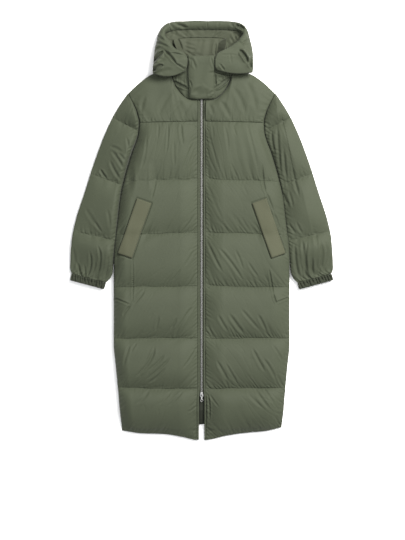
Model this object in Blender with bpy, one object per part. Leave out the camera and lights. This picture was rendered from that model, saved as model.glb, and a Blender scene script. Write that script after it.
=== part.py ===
"""A long hooded puffer coat, closed and laid flat on its back.

Metres, +Z up, hood towards +Y, the wearer's left towards +X. The origin lies on the floor under
the middle of the coat. The back layer lies on the floor, the front layer lies on the back layer,
and each padded piece is a wall with a plain inside and a quilted outside.
"""

import math

import bmesh
import bpy
import mathutils
import numpy as np

MM = 0.001

# ---------------------------------------------------------------- driving sizes (millimetres)
SEAM_GAP = 0.3  # between two pieces that are sewn together
LIE_GAP = 0.8  # between a piece and the padded piece that it lies on
MID = 22.0  # height of the plane where the front layer lies on the back layer
CROWN = 35.5  # thickness of the front layer in the middle of a channel
VALLEY = 15.0  # thickness of the front layer along a quilting seam
YOKE_VALLEY = 19.0  # its thickness along the yoke seam, which hardly sinks in
HEM_VALLEY = 11.0  # its thickness along the hem
THIN = 3.0  # thickness of a layer along a side seam or an armhole
SIDE_ROLL = 62.0  # how far a channel takes to rise from the side seam
ZIP_HALF = 9.2  # half the width of the zip with its tapes
PLACKET = 7.8  # width of the stitched strip on each side of the zip
PLACKET_TOP = 14.0  # thickness of the front layer at the zip
ZIP_ROLL = 42.0  # how far a channel takes to rise from the zip
NECK_Y = 452.0  # where the zip passes under the collar
FRONT_HEM_Y = -725.0
BACK_HEM_Y = -670.0
HEM_DROP = (-690.0, -620.0)  # between these the parting plane climbs from the floor to MID
UNDER_ROLL = 26.0  # how far the underside takes to come down to the floor from an edge

# Quilting seams of the body: height at the zip and at the side.
BODY_SEAMS = (
    ("yoke", 380, 375),
    ("chest", 180, 170),
    ("waist", -6, -13),
    ("hip", -190, -195),
    ("thigh", -371, -371),
    ("knee", -547, -541),
)

# Edge of the body, from the shoulder tip round the armhole and down the side seam.
BODY_EDGE = (
    # height, half width
    (476, 254.3),
    (438, 235),
    (404, 221.5),
    (376, 215.5),
    (342, 217.5),
    (310, 226),
    (276, 239),
    (224, 255),
    (159, 272),
    (107, 284),
    (45, 291),
    (-7, 297),
    (-59, 303),
    (-114, 304.5),
    (-393, 304.5),
    (-462, 298),
    (-566, 288),
    (-635, 282),
    (-695, 276),
)

# Lower edge of each front: distance from the zip, height.
HEMS = {
    "right": ((9.5, -725), (25, -723.5), (59, -716), (134, -704), (206, -702), (276, -692)),
    "left": ((9.5, -725), (36, -721.5), (83, -710), (161, -699), (222, -693.5), (276.5, -681)),
}

# Upper edge of the back, from the middle of the neck to the shoulder seam.
BACK_NECK = ((0, 555.6), (30, 556.1), (60, 558.0), (84, 559.8))

# Shoulder line, from the neck to the shoulder tip.
SHOULDER = (
    # x, y
    (106, 558),
    (120, 557.5),
    (140, 554),
    (160, 547.5),
    (179.4, 539),
    (205, 521.5),
    (226, 504),
    (242, 488.5),
    (254.3, 476),
)

# Outer edge of a sleeve: height, distance from the middle.
SLEEVE_OUTER = (
    (469, 261.5),
    (417, 295.5),
    (348, 330),
    (245, 369.5),
    (141, 403),
    (38, 436),
    (-31, 450),
    (-100, 455),
    (-128, 455.5),
    (-146, 451),
)

# Inner edge of a sleeve where it leaves the body: height, distance from the middle.
SLEEVE_INNER_LOW = ((-114, 306.5), (-140, 308.5), (-160, 316), (-178, 331.5))

# Seams of a sleeve: height at the inner edge, height at the outer edge.
SLEEVE_SEAMS = (
    ("shoulder", 470, 466),
    ("upper", 345, 393),
    ("elbow", 158, 199),
    ("forearm", -33, 0),
    ("cuff", -178, -146),
)
SLEEVE_CROWN = 37.0
CUFF_HEIGHT = 26.0  # full height of the cuff's two layers
CUFF_DEPTH = 24.0  # from the gathering seam to the cuff's edge
CUFF_RIBS = 12  # gathers on each side of a cuff
CUFF_SLIT = 3.0
SLEEVE_SLIT = 1.0
CUFF_FOLDS = 6  # large folds that run up a sleeve from its cuff

POCKET_WELT = {"length": 201.0, "width": 53.0, "thick": 5.5, "lean": 19.5}
POCKET_WELT_CENTRE = (231.5, 9.0)  # distance from the zip, height

# The hood's rim, from its lower corner on the wearer's right, over the top, to the other one.
# fold: outermost point. edge: free edge at the face. crest: height of the outer surface.
# base: height of its underside. low: how far the under layer reaches in from the fold.
HOOD_STATIONS = (
    # fold x, fold y, edge x, edge y, crest, base, low, sag
    (-165.6, 538.9, -57, 549, 78, 52, 26, -15),
    (-167, 560, -49.5, 566, 86, 47, 30, 0),
    (-165.5, 584, -48, 585, 89, 22, 40, 0),
    (-164, 606, -56, 605, 86, 0, 46, 0),
    (-161.8, 630, -93, 628, 80, 0, 44, 0),
    (-155, 658, -116, 656, 70, 0, 36, 0),
    (-150, 682, -130, 675, 61, 0, 30, 0),
    (-138, 703, -128, 687, 56, 0, 30, 0),
    (-113, 717, -108, 693, 52, 0, 34, 0),
    (-80, 722.5, -76, 698, 50, 0, 38, 0),
    (0, 725, 0, 699, 50, 0, 40, 0),
    (84, 724, 80, 698, 50, 0, 38, 0),
    (121, 720, 115, 696, 53, 0, 34, 0),
    (147, 709, 136, 692, 56, 0, 30, 0),
    (160, 690, 146, 682, 62, 0, 30, 0),
    (168, 661, 130, 657, 72, 0, 38, 0),
    (174.5, 632, 97, 631, 82, 0, 50, 0),
    (177.5, 606, 51, 605, 88, 0, 55, 0),
    (178, 584, 44.6, 585, 86, 22, 45, 0),
    (177.5, 562, 44.9, 566, 83, 47, 32, 0),
    (176, 545, 50, 554, 77, 52, 26, -9),
)
HOOD_SEAMS = (8, 12)  # stations where the top panel is sewn to the two side panels
HOOD_WALL = 14.0
HOOD_TOP_WALL = 11.0
HOOD_BACK_THICK = 15.4

# The collar, from the zip round the side to the middle of the back, the same on both sides.
COLLAR_STATIONS = (
    # neck x, y, z, top x, y, z
    (9.6, 452, 31, 9.6, 602, 59),
    (18, 452.2, 31, 20, 602.2, 59),
    (31, 453.5, 31, 35, 602.7, 59),
    (46, 458, 31, 52, 604, 57.5),
    (62, 468.5, 31, 64, 607, 55),
    (77, 484, 31, 73, 611.5, 52),
    (89, 503, 31, 80, 619, 48),
    (98, 525, 30, 85, 629, 42),
    (102.5, 543, 28, 86.5, 639, 36.5),
    (103, 557, 26.4, 85, 649, 31),
    (90, 562, 23.4, 78, 659, 25.5),
    (60, 559, 21, 55, 666, 22),
    (30, 557, 21, 28, 668, 22),
    (0, 556.5, 21, 0, 668.5, 22),
)
COLLAR_SIDE = 9  # the station where the shoulder seams meet the collar
COLLAR_WALL = 11.0
COLLAR_ROLL = (0.0, 0.13, 0.27, 0.34, 0.5, 0.7, 0.88, 1.0)  # rows, with a seam at the fourth
COLLAR_ROLL_SEAM = 3

# Corners of the chin flap: x, y.
FLAP_TOP = ((-47.0, 603.0), (43.5, 604.5))
FLAP_BOTTOM = ((-41.5, 458.0), (45.5, 455.0))
FLAP_THICK = 14.0

# Zip and its lower slider
CHAIN_HALF = 4.0
TEETH = (0.1, 1.7)  # underside and top of the teeth, from the zip's middle height
TAPE = (-1.6, -0.2)  # underside and top of the tape
ZIP_HEIGHT = MID + 9.5  # height of the middle of the tape
SLIDER = {"y": -557.0, "length": 17.0, "width": 11.5, "plate": 2.0, "height": 8.6}
BAIL = {"length": 8.4, "width": 2.6, "height": 4.6, "bar": 1.2}
TAB = {"length": 23.0, "width": 5.4, "thick": 1.5, "pin": 0.8, "ring": 5.0, "ring_hole": 3.0}


# ---------------------------------------------------------------- scene, materials
def clear_scene():
    for thing in list(bpy.data.objects):
        bpy.data.objects.remove(thing, do_unlink=True)


def material(name, colour, roughness, metallic=0.0):
    made = bpy.data.materials.new(name)
    made.use_nodes = True
    shader = made.node_tree.nodes["Principled BSDF"]
    shader.inputs["Base Color"].default_value = (*colour, 1.0)
    shader.inputs["Roughness"].default_value = roughness
    shader.inputs["Metallic"].default_value = metallic
    made.diffuse_color = (*colour, 1.0)
    return made


# ---------------------------------------------------------------- curves and grids
def through(table, at):
    """Smooth curve through (knot, value) pairs that never swings past them."""
    table = np.asarray(table, float)
    table = table[np.argsort(table[:, 0])]
    knot, value = table[:, 0], table[:, 1]
    at = np.clip(at, knot[0], knot[-1])
    step = np.diff(knot)
    slope = np.diff(value) / step
    lean = np.empty_like(value)
    lean[0], lean[-1] = slope[0], slope[-1]
    same_way = slope[:-1] * slope[1:] > 0
    total = np.where(same_way, slope[:-1] + slope[1:], 1.0)
    lean[1:-1] = np.where(same_way, 2 * slope[:-1] * slope[1:] / total, 0.0)
    i = np.clip(np.searchsorted(knot, at, side="right") - 1, 0, len(step) - 1)
    s = (at - knot[i]) / step[i]
    start, end = value[i], value[i + 1]
    first, last = lean[i] * step[i], lean[i + 1] * step[i]
    return (
        start * (2 * s**3 - 3 * s**2 + 1)
        + first * (s**3 - 2 * s**2 + s)
        + end * (3 * s**2 - 2 * s**3)
        + last * (s**3 - s**2)
    )


def along(points, share):
    """Points on a smooth curve through the given ones, at shares of its length."""
    points = np.asarray(points, float)
    reach = np.concatenate([[0], np.cumsum(np.linalg.norm(np.diff(points, axis=0), axis=1))])
    at = np.asarray(share) * reach[-1]
    return np.stack([through(np.stack([reach, axis], 1), at) for axis in points.T], -1)


def roll(distance, reach):
    """0 at an edge, 1 from reach inwards, round like a quarter of an ellipse."""
    share = np.clip(np.asarray(distance, float) / reach, 0, 1)
    return np.sqrt(1 - (1 - share) ** 2)


def ease(share):
    share = np.clip(share, 0, 1)
    return share * share * (3 - 2 * share)


def puff(share):
    """Height of a stuffed channel across its width, 0 at both seams and 1 in the middle."""
    return np.sin(np.pi * np.clip(share, 0, 1)) ** 0.72


def parting(y):
    """Height of the plane between the two layers: it comes down to the floor at the hem."""
    low, high = HEM_DROP
    return MID * np.clip((np.asarray(y, float) - low) / (high - low), 0, 1)


def lay_over(y, thick):
    """Height of an outer surface over the parting plane, with the plane's bends softened."""
    flat = parting(y)
    low, high = HEM_DROP
    soft = MID * ease((np.asarray(y, float) - low + 45) / (high - low + 110))
    return flat + SEAM_GAP + thick + (soft - flat) * np.minimum(1, thick / 24.0) ** 1.5


def grid_normals(points):
    """Unit normals of a grid of points, rows x columns."""
    down = np.gradient(points, axis=0)
    across = np.gradient(points, axis=1)
    normal = np.cross(across, down)
    return normal / np.maximum(np.linalg.norm(normal, axis=-1, keepdims=True), 1e-9)


# ---------------------------------------------------------------- solids
def finish_mesh(name, mesh_builder, paint, smooth_angle=38.0):
    """Turns a bmesh in millimetres into a named object in metres, all in triangles."""
    bmesh.ops.recalc_face_normals(mesh_builder, faces=mesh_builder.faces)
    bmesh.ops.triangulate(mesh_builder, faces=mesh_builder.faces, quad_method="SHORT_EDGE")
    bmesh.ops.scale(mesh_builder, vec=(MM, MM, MM), verts=mesh_builder.verts)
    mesh = bpy.data.meshes.new(name)
    mesh_builder.to_mesh(mesh)
    mesh_builder.free()
    mesh.materials.append(paint)
    mesh.shade_smooth()
    mesh.set_sharp_from_angle(angle=math.radians(smooth_angle))
    made = bpy.data.objects.new(name, mesh)
    bpy.context.scene.collection.objects.link(made)
    return made


def wall(name, outer, inner, paint, ring=False):
    """A closed wall between two grids of points (rows x columns x 3) of the same shape.

    With ring, the last column joins the first, so the wall is a tube.
    """
    rows, cols = outer.shape[:2]
    built = bmesh.new()
    layers = []
    for grid in (outer, inner):
        layers.append([[built.verts.new(p) for p in row] for row in grid])
    spans = range(cols) if ring else range(cols - 1)
    for layer in layers:
        for r in range(rows - 1):
            for c in spans:
                n = (c + 1) % cols
                built.faces.new((layer[r][c], layer[r][n], layer[r + 1][n], layer[r + 1][c]))
    front, back = layers
    for r in (0, rows - 1):
        for c in spans:
            n = (c + 1) % cols
            built.faces.new((front[r][c], front[r][n], back[r][n], back[r][c]))
    if not ring:
        for c in (0, cols - 1):
            for r in range(rows - 1):
                built.faces.new((front[r][c], front[r + 1][c], back[r + 1][c], back[r][c]))
    return finish_mesh(name, built, paint)


def prism(name, outline, low, high, paint):
    """An upright solid with an outline of (x, y) points."""
    built = bmesh.new()
    base = built.faces.new([built.verts.new((x, y, low)) for x, y in outline])
    lifted = bmesh.ops.extrude_face_region(built, geom=[base])
    tops = [v for v in lifted["geom"] if isinstance(v, bmesh.types.BMVert)]
    bmesh.ops.translate(built, vec=(0, 0, high - low), verts=tops)
    return finish_mesh(name, built, paint)


def boolean(target, tool, operation):
    """Adds or cuts tool, which then leaves the scene."""
    step = target.modifiers.new(operation.title(), "BOOLEAN")
    step.operation = operation
    step.object = tool
    graph = bpy.context.evaluated_depsgraph_get()
    mesh = bpy.data.meshes.new_from_object(target.evaluated_get(graph))
    target.modifiers.clear()
    target.data = mesh
    bpy.data.objects.remove(tool, do_unlink=True)
    return target


# ---------------------------------------------------------------- body
CHANNEL_ROWS = (0.0, 0.045, 0.15, 0.32, 0.5, 0.68, 0.85, 0.955)
BODY_COLUMNS = (
    0.0, 0.02, 0.06, 0.12, 0.2, 0.28, 0.36, 0.44, 0.52, 0.6, 0.68, 0.76, 0.84, 0.91, 0.96, 0.99, 1.0,
)
YOKE_ROWS = (0.0, 0.04, 0.12, 0.25, 0.4, 0.55, 0.7, 0.82, 0.92, 0.98, 1.0)
YOKE_CROWN = 25.0

# Large soft troughs in the quilted fronts: from x, y to x, y, then width and depth.
FRONT_FOLDS = (
    (55, 150, 120, 20, 16, 3.0),
    (70, -30, 150, -165, 18, 3.5),
    (130, -60, 200, -180, 18, 3.0),
    (60, -220, 175, -350, 18, 3.5),
    (95, -400, 175, -520, 20, 4.0),
    (165, -400, 225, -520, 18, 3.5),
    (60, 350, 50, 200, 14, 2.5),
    (130, 345, 140, 195, 14, 2.5),
)


def fold_depth(x, y, folds):
    """How deep the listed troughs press a surface in at each point."""
    depth = np.zeros(np.broadcast(x, y).shape)
    for x1, y1, x2, y2, width, most in folds:
        span = np.array([x2 - x1, y2 - y1], float)
        length = np.linalg.norm(span)
        share = ((x - x1) * span[0] + (y - y1) * span[1]) / length**2
        off = ((x - x1) * span[1] - (y - y1) * span[0]) / length
        fade = ease(share / 0.3) * ease((1 - share) / 0.3)
        depth += most * fade * np.exp(-((off / width) ** 2))
    return depth


def body_edge(y):
    return through(BODY_EDGE, y)


def under_welt(x, y):
    """1 under a pocket welt, which keeps the quilting from sinking in, 0 away from it."""
    lean = math.radians(POCKET_WELT["lean"])
    dx, dy = x - POCKET_WELT_CENTRE[0], y - POCKET_WELT_CENTRE[1]
    across = dx * math.cos(lean) + dy * math.sin(lean)
    along_it = np.abs(dy) - POCKET_WELT["length"] / 2
    return (1 - ease((np.abs(across) - 24) / 26)) * (1 - ease(along_it / 40))


def front_thickness(x, y, side_room, share, seam):
    """Thickness of a quilted front at x from the zip, side_room from the side seam.

    share is the place across the channel and seam the thickness that its seams leave.
    """
    rise = roll(side_room, SIDE_ROLL) * (0.25 + 0.75 * roll(x - ZIP_HALF - PLACKET, ZIP_ROLL))
    near_zip = 1 - ease((x - ZIP_HALF - PLACKET) / ZIP_ROLL)
    valley = THIN + (seam - THIN) * roll(side_room, SIDE_ROLL)
    valley = valley + np.minimum(PLACKET_TOP - 2 - valley, 0) * near_zip
    crown = THIN + (CROWN - THIN) * rise
    valley = valley + 7.0 * under_welt(x, y)
    return valley + np.maximum(crown - valley, 0) * puff(share)


def front_rows(side):
    """(upper seam, lower seam, share of the way between them, whether at the hem) of each row.

    A seam is its height at the zip, its height at the side and the thickness that it leaves.
    """
    ends = [(a, b, VALLEY) for _, a, b in BODY_SEAMS]
    ends[0] = ends[0][:2] + (YOKE_VALLEY,)
    ends.append((FRONT_HEM_Y, HEMS[side][-1][1], HEM_VALLEY))
    rows = []
    for k, (top, bottom) in enumerate(zip(ends[:-1], ends[1:])):
        last = k == len(ends) - 2
        for share in CHANNEL_ROWS + ((1.0,) if last else ()):
            rows.append((top, bottom, share, last))
    return rows


def front_panel(side, paint):
    """A quilted front from the yoke seam to the hem."""
    sign = 1 if side == "left" else -1
    u = np.array(BODY_COLUMNS)
    top, low = [], []
    for (zip_a, side_a, seam_a), (zip_b, side_b, seam_b), share, last in front_rows(side):
        start = zip_a + (side_a - zip_a) * u
        inner_x = ZIP_HALF + PLACKET + SEAM_GAP
        edge_y = side_a + (side_b - side_a) * share
        edge_x = body_edge(edge_y)
        x = inner_x + (edge_x - inner_x) * u
        end = through(HEMS[side], x) if last else zip_b + (side_b - zip_b) * u
        y = start + (end - start) * share
        if last:
            bend = HEM_DROP[1]
            upper_y = start + (bend - start) * share / 0.5
            lower_y = bend + (end - bend) * (share - 0.5) / 0.5
            y = upper_y if share <= 0.5 else lower_y
        if start[0] == BODY_SEAMS[0][1] and share == 0:
            y = y - SEAM_GAP
        seam = seam_a + (seam_b - seam_a) * share
        thick = front_thickness(x, y, edge_x - x, share, seam)
        thick = thick - fold_depth(x, y, FRONT_FOLDS) * puff(share) * roll(edge_x - x, SIDE_ROLL)
        base = parting(y) + SEAM_GAP
        top.append(np.stack([sign * x, y, lay_over(y, thick)], -1))
        low.append(np.stack([sign * x, y, base], -1))
    return wall(f"front_{side}", np.array(top), np.array(low), paint)


def neck_edge():
    """Plan of the front neckline beside the collar's neck seam, from the placket outwards."""
    neck = np.array([s[:2] for s in COLLAR_STATIONS[: COLLAR_SIDE + 1]], float)
    run = np.gradient(neck, axis=0)
    run /= np.linalg.norm(run, axis=1, keepdims=True)
    clear = SEAM_GAP + 0.1 + 1.5 * ease(np.linspace(-1, 1, len(neck)))[:, None]
    edge = neck + np.column_stack([run[:, 1], -run[:, 0]]) * clear
    edge[1, 0] = ZIP_HALF + PLACKET + SEAM_GAP
    return edge[1:]


def front_yoke(side, paint):
    """The plain upper front between the yoke seam, the armhole, the shoulder and the neck."""
    sign = 1 if side == "left" else -1
    upper = np.vstack([neck_edge(), np.array(SHOULDER, float)])
    neck_count = len(neck_edge())
    zip_y, side_y = BODY_SEAMS[0][1:]
    inner_x = upper[0, 0]
    edge_x = float(body_edge(side_y)) - SEAM_GAP
    u = (upper[:, 0] - inner_x) / (upper[-1, 0] - inner_x)
    u[neck_count - 1] -= 0.004
    u[neck_count] += 0.004
    lower = np.stack([inner_x + (edge_x - inner_x) * u, zip_y + (side_y - zip_y) * u], -1)
    at_neck = np.arange(len(u)) < neck_count
    neck_edge_thick = np.linspace(12.0, 4.5, neck_count)
    top_thick = np.concatenate([neck_edge_thick, np.full(len(u) - neck_count, THIN)])
    top_thick[neck_count : neck_count + 2] = (4.0, 3.5)
    top, low = [], []
    for v in YOKE_ROWS:
        flat = lower + (upper - lower) * v
        arm_y = side_y + (SHOULDER[-1][1] - side_y) * v
        pull = float(body_edge(arm_y)) - SEAM_GAP - flat[-1, 0]
        flat[:, 0] += pull * u**2
        length = np.linalg.norm(upper - lower, axis=1)
        side_rise = roll((1 - u) * 230, 60)
        rise = roll(v * length, 60) * roll((1 - v) * length, np.where(at_neck, 45, 75)) * side_rise
        near_zip = 1 - ease((flat[:, 0] - inner_x) / ZIP_ROLL)
        edge = YOKE_VALLEY + (top_thick - YOKE_VALLEY) * ease(v)
        edge = THIN + (edge - THIN) * roll((1 - u) * 230, 40)
        edge = edge + (PLACKET_TOP - 2 - edge) * near_zip
        thick = edge + np.maximum(YOKE_CROWN - edge, 0) * rise
        base = np.full_like(thick, MID + SEAM_GAP)
        top.append(np.stack([sign * flat[:, 0], flat[:, 1], base + thick], -1))
        low.append(np.stack([sign * flat[:, 0], flat[:, 1], base], -1))
    return wall(f"yoke_{side}", np.array(top), np.array(low), paint)


def back_panel(paint):
    """The back, flat on the floor, from the neck and shoulders to the hem."""
    shoulder = np.array(BACK_NECK + SHOULDER)
    half = shoulder[:, 0] / shoulder[-1, 0]
    half = np.sort(np.append(half, (0.985,)))
    u = np.concatenate([-half[:0:-1], half])
    heights = (476, 438, 404, 376, 342, 310, 276, 224, 159, 107, 45, -59, -114, -393, -462)
    heights += (-566, -620, -640, -655, BACK_HEM_Y)
    top, low = [], []
    for y_edge in heights:
        edge_x = float(body_edge(y_edge))
        x = u * edge_x
        blend = ease((y_edge - 300) / 176)
        bow = (through(shoulder, np.abs(u) * shoulder[-1][0]) - shoulder[-1][1]) * blend
        y = y_edge + bow
        upper = parting(y)
        room = (1 - np.abs(u)) * edge_x
        top_room = (heights[0] - y_edge) * 1.4
        lift = 1 - roll(np.minimum(room, top_room), UNDER_ROLL)
        under = np.maximum(upper - THIN, 0) * lift
        top.append(np.stack([x, y, upper], -1))
        low.append(np.stack([x, y, under], -1))
    return wall("back", np.array(top), np.array(low), paint)


# ---------------------------------------------------------------- sleeves
SLEEVE_ROWS = (0.0, 0.05, 0.17, 0.34, 0.5, 0.66, 0.83, 0.95)
SLEEVE_ACROSS = (0.0, 0.025, 0.09, 0.19, 0.32, 0.45, 0.58, 0.7, 0.81, 0.9, 0.96, 1.0)
SLEEVE_UNDER = (0.97, 0.9, 0.8, 0.2, 0.08, 0.0)


def sleeve_inner(y):
    """The sleeve's inner edge lies against the body's edge, then leaves it above the cuff."""
    beside = body_edge(y) + np.interp(y, (100, 200, 385, 425), (1.0, 1.6, 1.6, 0.8))
    away = through(SLEEVE_INNER_LOW, y)
    return np.where(np.asarray(y) < SLEEVE_INNER_LOW[0][0], away, beside)


def sleeve_sections():
    """(inner point, outer point, share across the channel, channel) of each ring."""
    sections = []
    for k, (above, below) in enumerate(zip(SLEEVE_SEAMS[:-1], SLEEVE_SEAMS[1:])):
        last = k == len(SLEEVE_SEAMS) - 2
        for share in SLEEVE_ROWS + ((1.0,) if last else ()):
            inner_y = above[1] + (below[1] - above[1]) * share
            outer_y = above[2] + (below[2] - above[2]) * share
            inner = (float(sleeve_inner(inner_y)), inner_y)
            outer = (float(through(SLEEVE_OUTER, outer_y)), outer_y)
            sections.append((np.array(inner), np.array(outer), share, k))
    return sections


def sleeve(side, paint):
    """One sleeve: its cloth goes from the underarm seam under, round the outer fold and back."""
    sign = 1 if side == "left" else -1
    outside, inside = [], []
    for inner, outer, share, channel in sleeve_sections():
        width = np.linalg.norm(outer - inner)
        at_cuff = channel == len(SLEEVE_SEAMS) - 2
        drop = ease((share - 0.35) / 0.65) if at_cuff else 0.0
        middle = MID + (CUFF_HEIGHT / 2 - MID) * drop
        reach = min(48.0, 0.42 * width)
        bulk = (0.35 + 0.65 * ease(width / 90)) if channel == 0 else 1.0
        valley = VALLEY * bulk
        if at_cuff:
            valley = VALLEY + (CUFF_HEIGHT / 2 - 1.5 - VALLEY) * ease(share)
        tall = valley + (SLEEVE_CROWN * bulk - valley) * puff(share)
        across = np.array(SLEEVE_ACROSS)
        edge = np.minimum(roll(across * width, reach), roll((1 - across) * width, reach))
        rise = THIN + (tall - THIN) * edge
        if at_cuff:
            wave = np.cos(across * 2 * np.pi * CUFF_FOLDS)
            rise = rise + 2.4 * wave * ease((share - 0.35) / 0.5) * edge
        rise[-1] = 0.0
        under_across = np.array(SLEEVE_UNDER)
        room = np.minimum(under_across, 1 - under_across) * width
        under = (middle - THIN) * (1 - roll(room, min(UNDER_ROLL, 0.45 * width)))
        line = np.concatenate([across, under_across])
        height = np.concatenate([middle + rise, under])
        plan = inner + (outer - inner) * line[:, None]
        outside.append(np.column_stack([sign * plan[:, 0], plan[:, 1], height]))
        slit = SLEEVE_SLIT + (CUFF_SLIT - SLEEVE_SLIT) * drop
        shy = min(9.0, 0.25 * width) / width
        inner_line = np.minimum(line, 1 - shy)
        inner_height = middle + np.concatenate(
            [np.full(len(across), slit / 2), np.full(len(under_across), -slit / 2)]
        )
        inner_height[len(across) - 1] = middle
        plan = inner + (outer - inner) * inner_line[:, None]
        inside.append(np.column_stack([sign * plan[:, 0], plan[:, 1], inner_height]))
    return wall(f"sleeve_{side}", np.array(outside), np.array(inside), paint)


def cuff(side, paint):
    """The gathered elastic band at the end of a sleeve, a flattened tube with ribs."""
    sign = 1 if side == "left" else -1
    inner, outer, _, _ = sleeve_sections()[-1]
    width = np.linalg.norm(outer - inner)
    axis = (outer - inner) / width
    out = np.array([axis[1], -axis[0]])
    steps = CUFF_RIBS * 3
    turn = np.arange(2 * steps) * np.pi / steps
    across = 0.5 - 0.5 * np.cos(turn)
    upper = turn < np.pi
    rib = 0.5 + 0.5 * np.cos(turn * 2 * CUFF_RIBS)
    rings, holes = [], []
    for depth, swell, shrink in ((0.0, 0.86, 0.6), (0.3, 1.0, 0.0), (0.75, 1.0, 0.0), (1.0, 0.8, 1.5)):
        at = inner + out * (SEAM_GAP + 0.3 + depth * CUFF_DEPTH)
        half = CUFF_HEIGHT / 2 * swell
        tall = half * np.abs(np.sin(turn)) ** 0.45 * (1 - 0.1 * rib)
        plan = at + axis * (shrink + across * (width - 2 * shrink))[:, None]
        height = CUFF_HEIGHT / 2 + np.where(upper, tall, -tall)
        rings.append(np.column_stack([sign * plan[:, 0], plan[:, 1], height]))
        open_half = CUFF_SLIT / 2
        hollow = np.clip(across, 0.045, 0.955)
        plan = at + axis * (hollow * width)[:, None]
        height = CUFF_HEIGHT / 2 + np.where(upper, open_half, -open_half)
        height[0] = height[steps] = CUFF_HEIGHT / 2
        holes.append(np.column_stack([sign * plan[:, 0], plan[:, 1], height]))
    return wall(f"cuff_{side}", np.array(rings), np.array(holes), paint, ring=True)


# ---------------------------------------------------------------- hood
def hood_section(station, thick):
    """Outer and inner points of the hood's wall in the plane through one station."""
    fold_x, fold_y, edge_x, edge_y, crest, base, low, sag = station
    fold, edge = np.array([fold_x, fold_y]), np.array([edge_x, edge_y])
    width = np.linalg.norm(fold - edge)
    inward = (edge - fold) / width
    half = thick / 2
    top, bottom = crest - half, base + half
    tall = (top - bottom) / 2
    deep = min(0.75 * (width - half), 1.15 * tall + 6)
    centre = deep + half
    upper = [(width - s * (width - centre), top - 5.0 * (1 - s) ** 2) for s in (0, 0.1, 0.35, 0.7)]
    bend = [
        (centre - deep * math.sin(a), (top + bottom) / 2 + tall * math.cos(a))
        for a in np.radians((0, 25, 50, 75, 100, 125, 150, 180))
    ]
    low = max(low, centre + 4)
    lower = [(centre + (low - centre) * s, bottom) for s in (0.5, 1.0)]
    line = np.array(upper + bend + lower)
    slope = np.gradient(line, axis=0)
    normal = np.column_stack([slope[:, 1], -slope[:, 0]])
    normal /= np.linalg.norm(normal, axis=1, keepdims=True)
    thin = np.full(len(line), half)
    thin[0] *= 0.55
    sides = []
    for sign in (1, -1):
        at = line + sign * normal * thin[:, None]
        at[-2:, 1] = bottom - sign * half
        at[:, 1] = np.maximum(at[:, 1], base)
        plan = fold + inward * at[:, :1]
        plan[:, 1] += sag * np.sin(np.pi * np.clip(at[:, 0] / width, 0, 1))
        sides.append(np.column_stack([plan, at[:, 1]]))
    return sides


def hood_panel(name, first, last, thick, paint, trim_first=0.0, trim_last=0.0):
    """Part of the hood's rim between two stations, trimmed back a little at its seams."""
    stations = [np.array(s, float) for s in HOOD_STATIONS[first : last + 1]]
    for end, beside, trim in ((0, 1, trim_first), (-1, -2, trim_last)):
        step = np.linalg.norm((stations[beside] - stations[end])[:2])
        stations[end] = stations[end] + (stations[beside] - stations[end]) * trim / step
    sides = [hood_section(tuple(s), thick) for s in stations]
    outer = np.array([s[0] for s in sides])
    inner = np.array([s[1] for s in sides])
    return wall(name, outer, inner, paint)


def hood_back(paint):
    """The middle of the hood's back, flat on the floor inside the rim."""
    lows = []
    for station in HOOD_STATIONS[3:-3]:
        outer, _ = hood_section(station, HOOD_WALL)
        lows.append(outer[-1, :2])
    lows = np.array(lows)
    centre = np.array([5.0, 600.0])
    rim = lows + (centre - lows) / np.linalg.norm(centre - lows, axis=1, keepdims=True) * 0.5
    start, end = rim[0], rim[-1]
    neck = [(end[0], 566.5), (60, 558.5), (0, 557), (-60, 558.5), (start[0], 566.5)]
    outline = [tuple(p) for p in rim] + neck
    return prism("hood_back", outline, 0.0, HOOD_BACK_THICK, paint)


# ---------------------------------------------------------------- collar and chin flap
def collar_rows():
    """Middle surface of the collar: rows from the neck seam up, columns round the neck."""
    half = np.array(COLLAR_STATIONS, float)
    mirrored = half[:-1] * np.array([-1, 1, 1, -1, 1, 1])
    path = np.vstack([mirrored, half[::-1]])
    return np.array([path[:, :3] + (path[:, 3:] - path[:, :3]) * v for v in COLLAR_ROLL])


def collar(paint):
    """The padded collar, one ring from the zip round the back of the neck to the zip."""
    middle = collar_rows()
    normal = grid_normals(middle)
    centre = np.array([0, 580.0, 40.0])
    normal *= np.sign(np.sum(normal * (middle - centre), axis=-1).mean())
    v = np.array(COLLAR_ROLL)
    upright = (1 - ease(v / COLLAR_ROLL[1]))[:, None, None]
    normal = normal * (1 - upright) + np.array([0, 0, 1.0]) * upright
    normal /= np.linalg.norm(normal, axis=-1, keepdims=True)
    seam = v[COLLAR_ROLL_SEAM]
    swell = np.where(v < seam, puff(v / seam), puff((v - seam) / (1 - seam)))
    half = (3.0 + (COLLAR_WALL / 2 - 3.0) * swell)[:, None, None]
    return wall("collar", middle + normal * half, middle - normal * half * 0.9, paint)


def collar_height(y):
    """Height of the collar's outer surface behind the chin flap."""
    neck, top = COLLAR_STATIONS[0][1:3], COLLAR_STATIONS[0][4:6]
    share = (np.asarray(y, float) - neck[0]) / (top[0] - neck[0])
    return neck[1] + (top[1] - neck[1]) * share + COLLAR_WALL / 2


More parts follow.
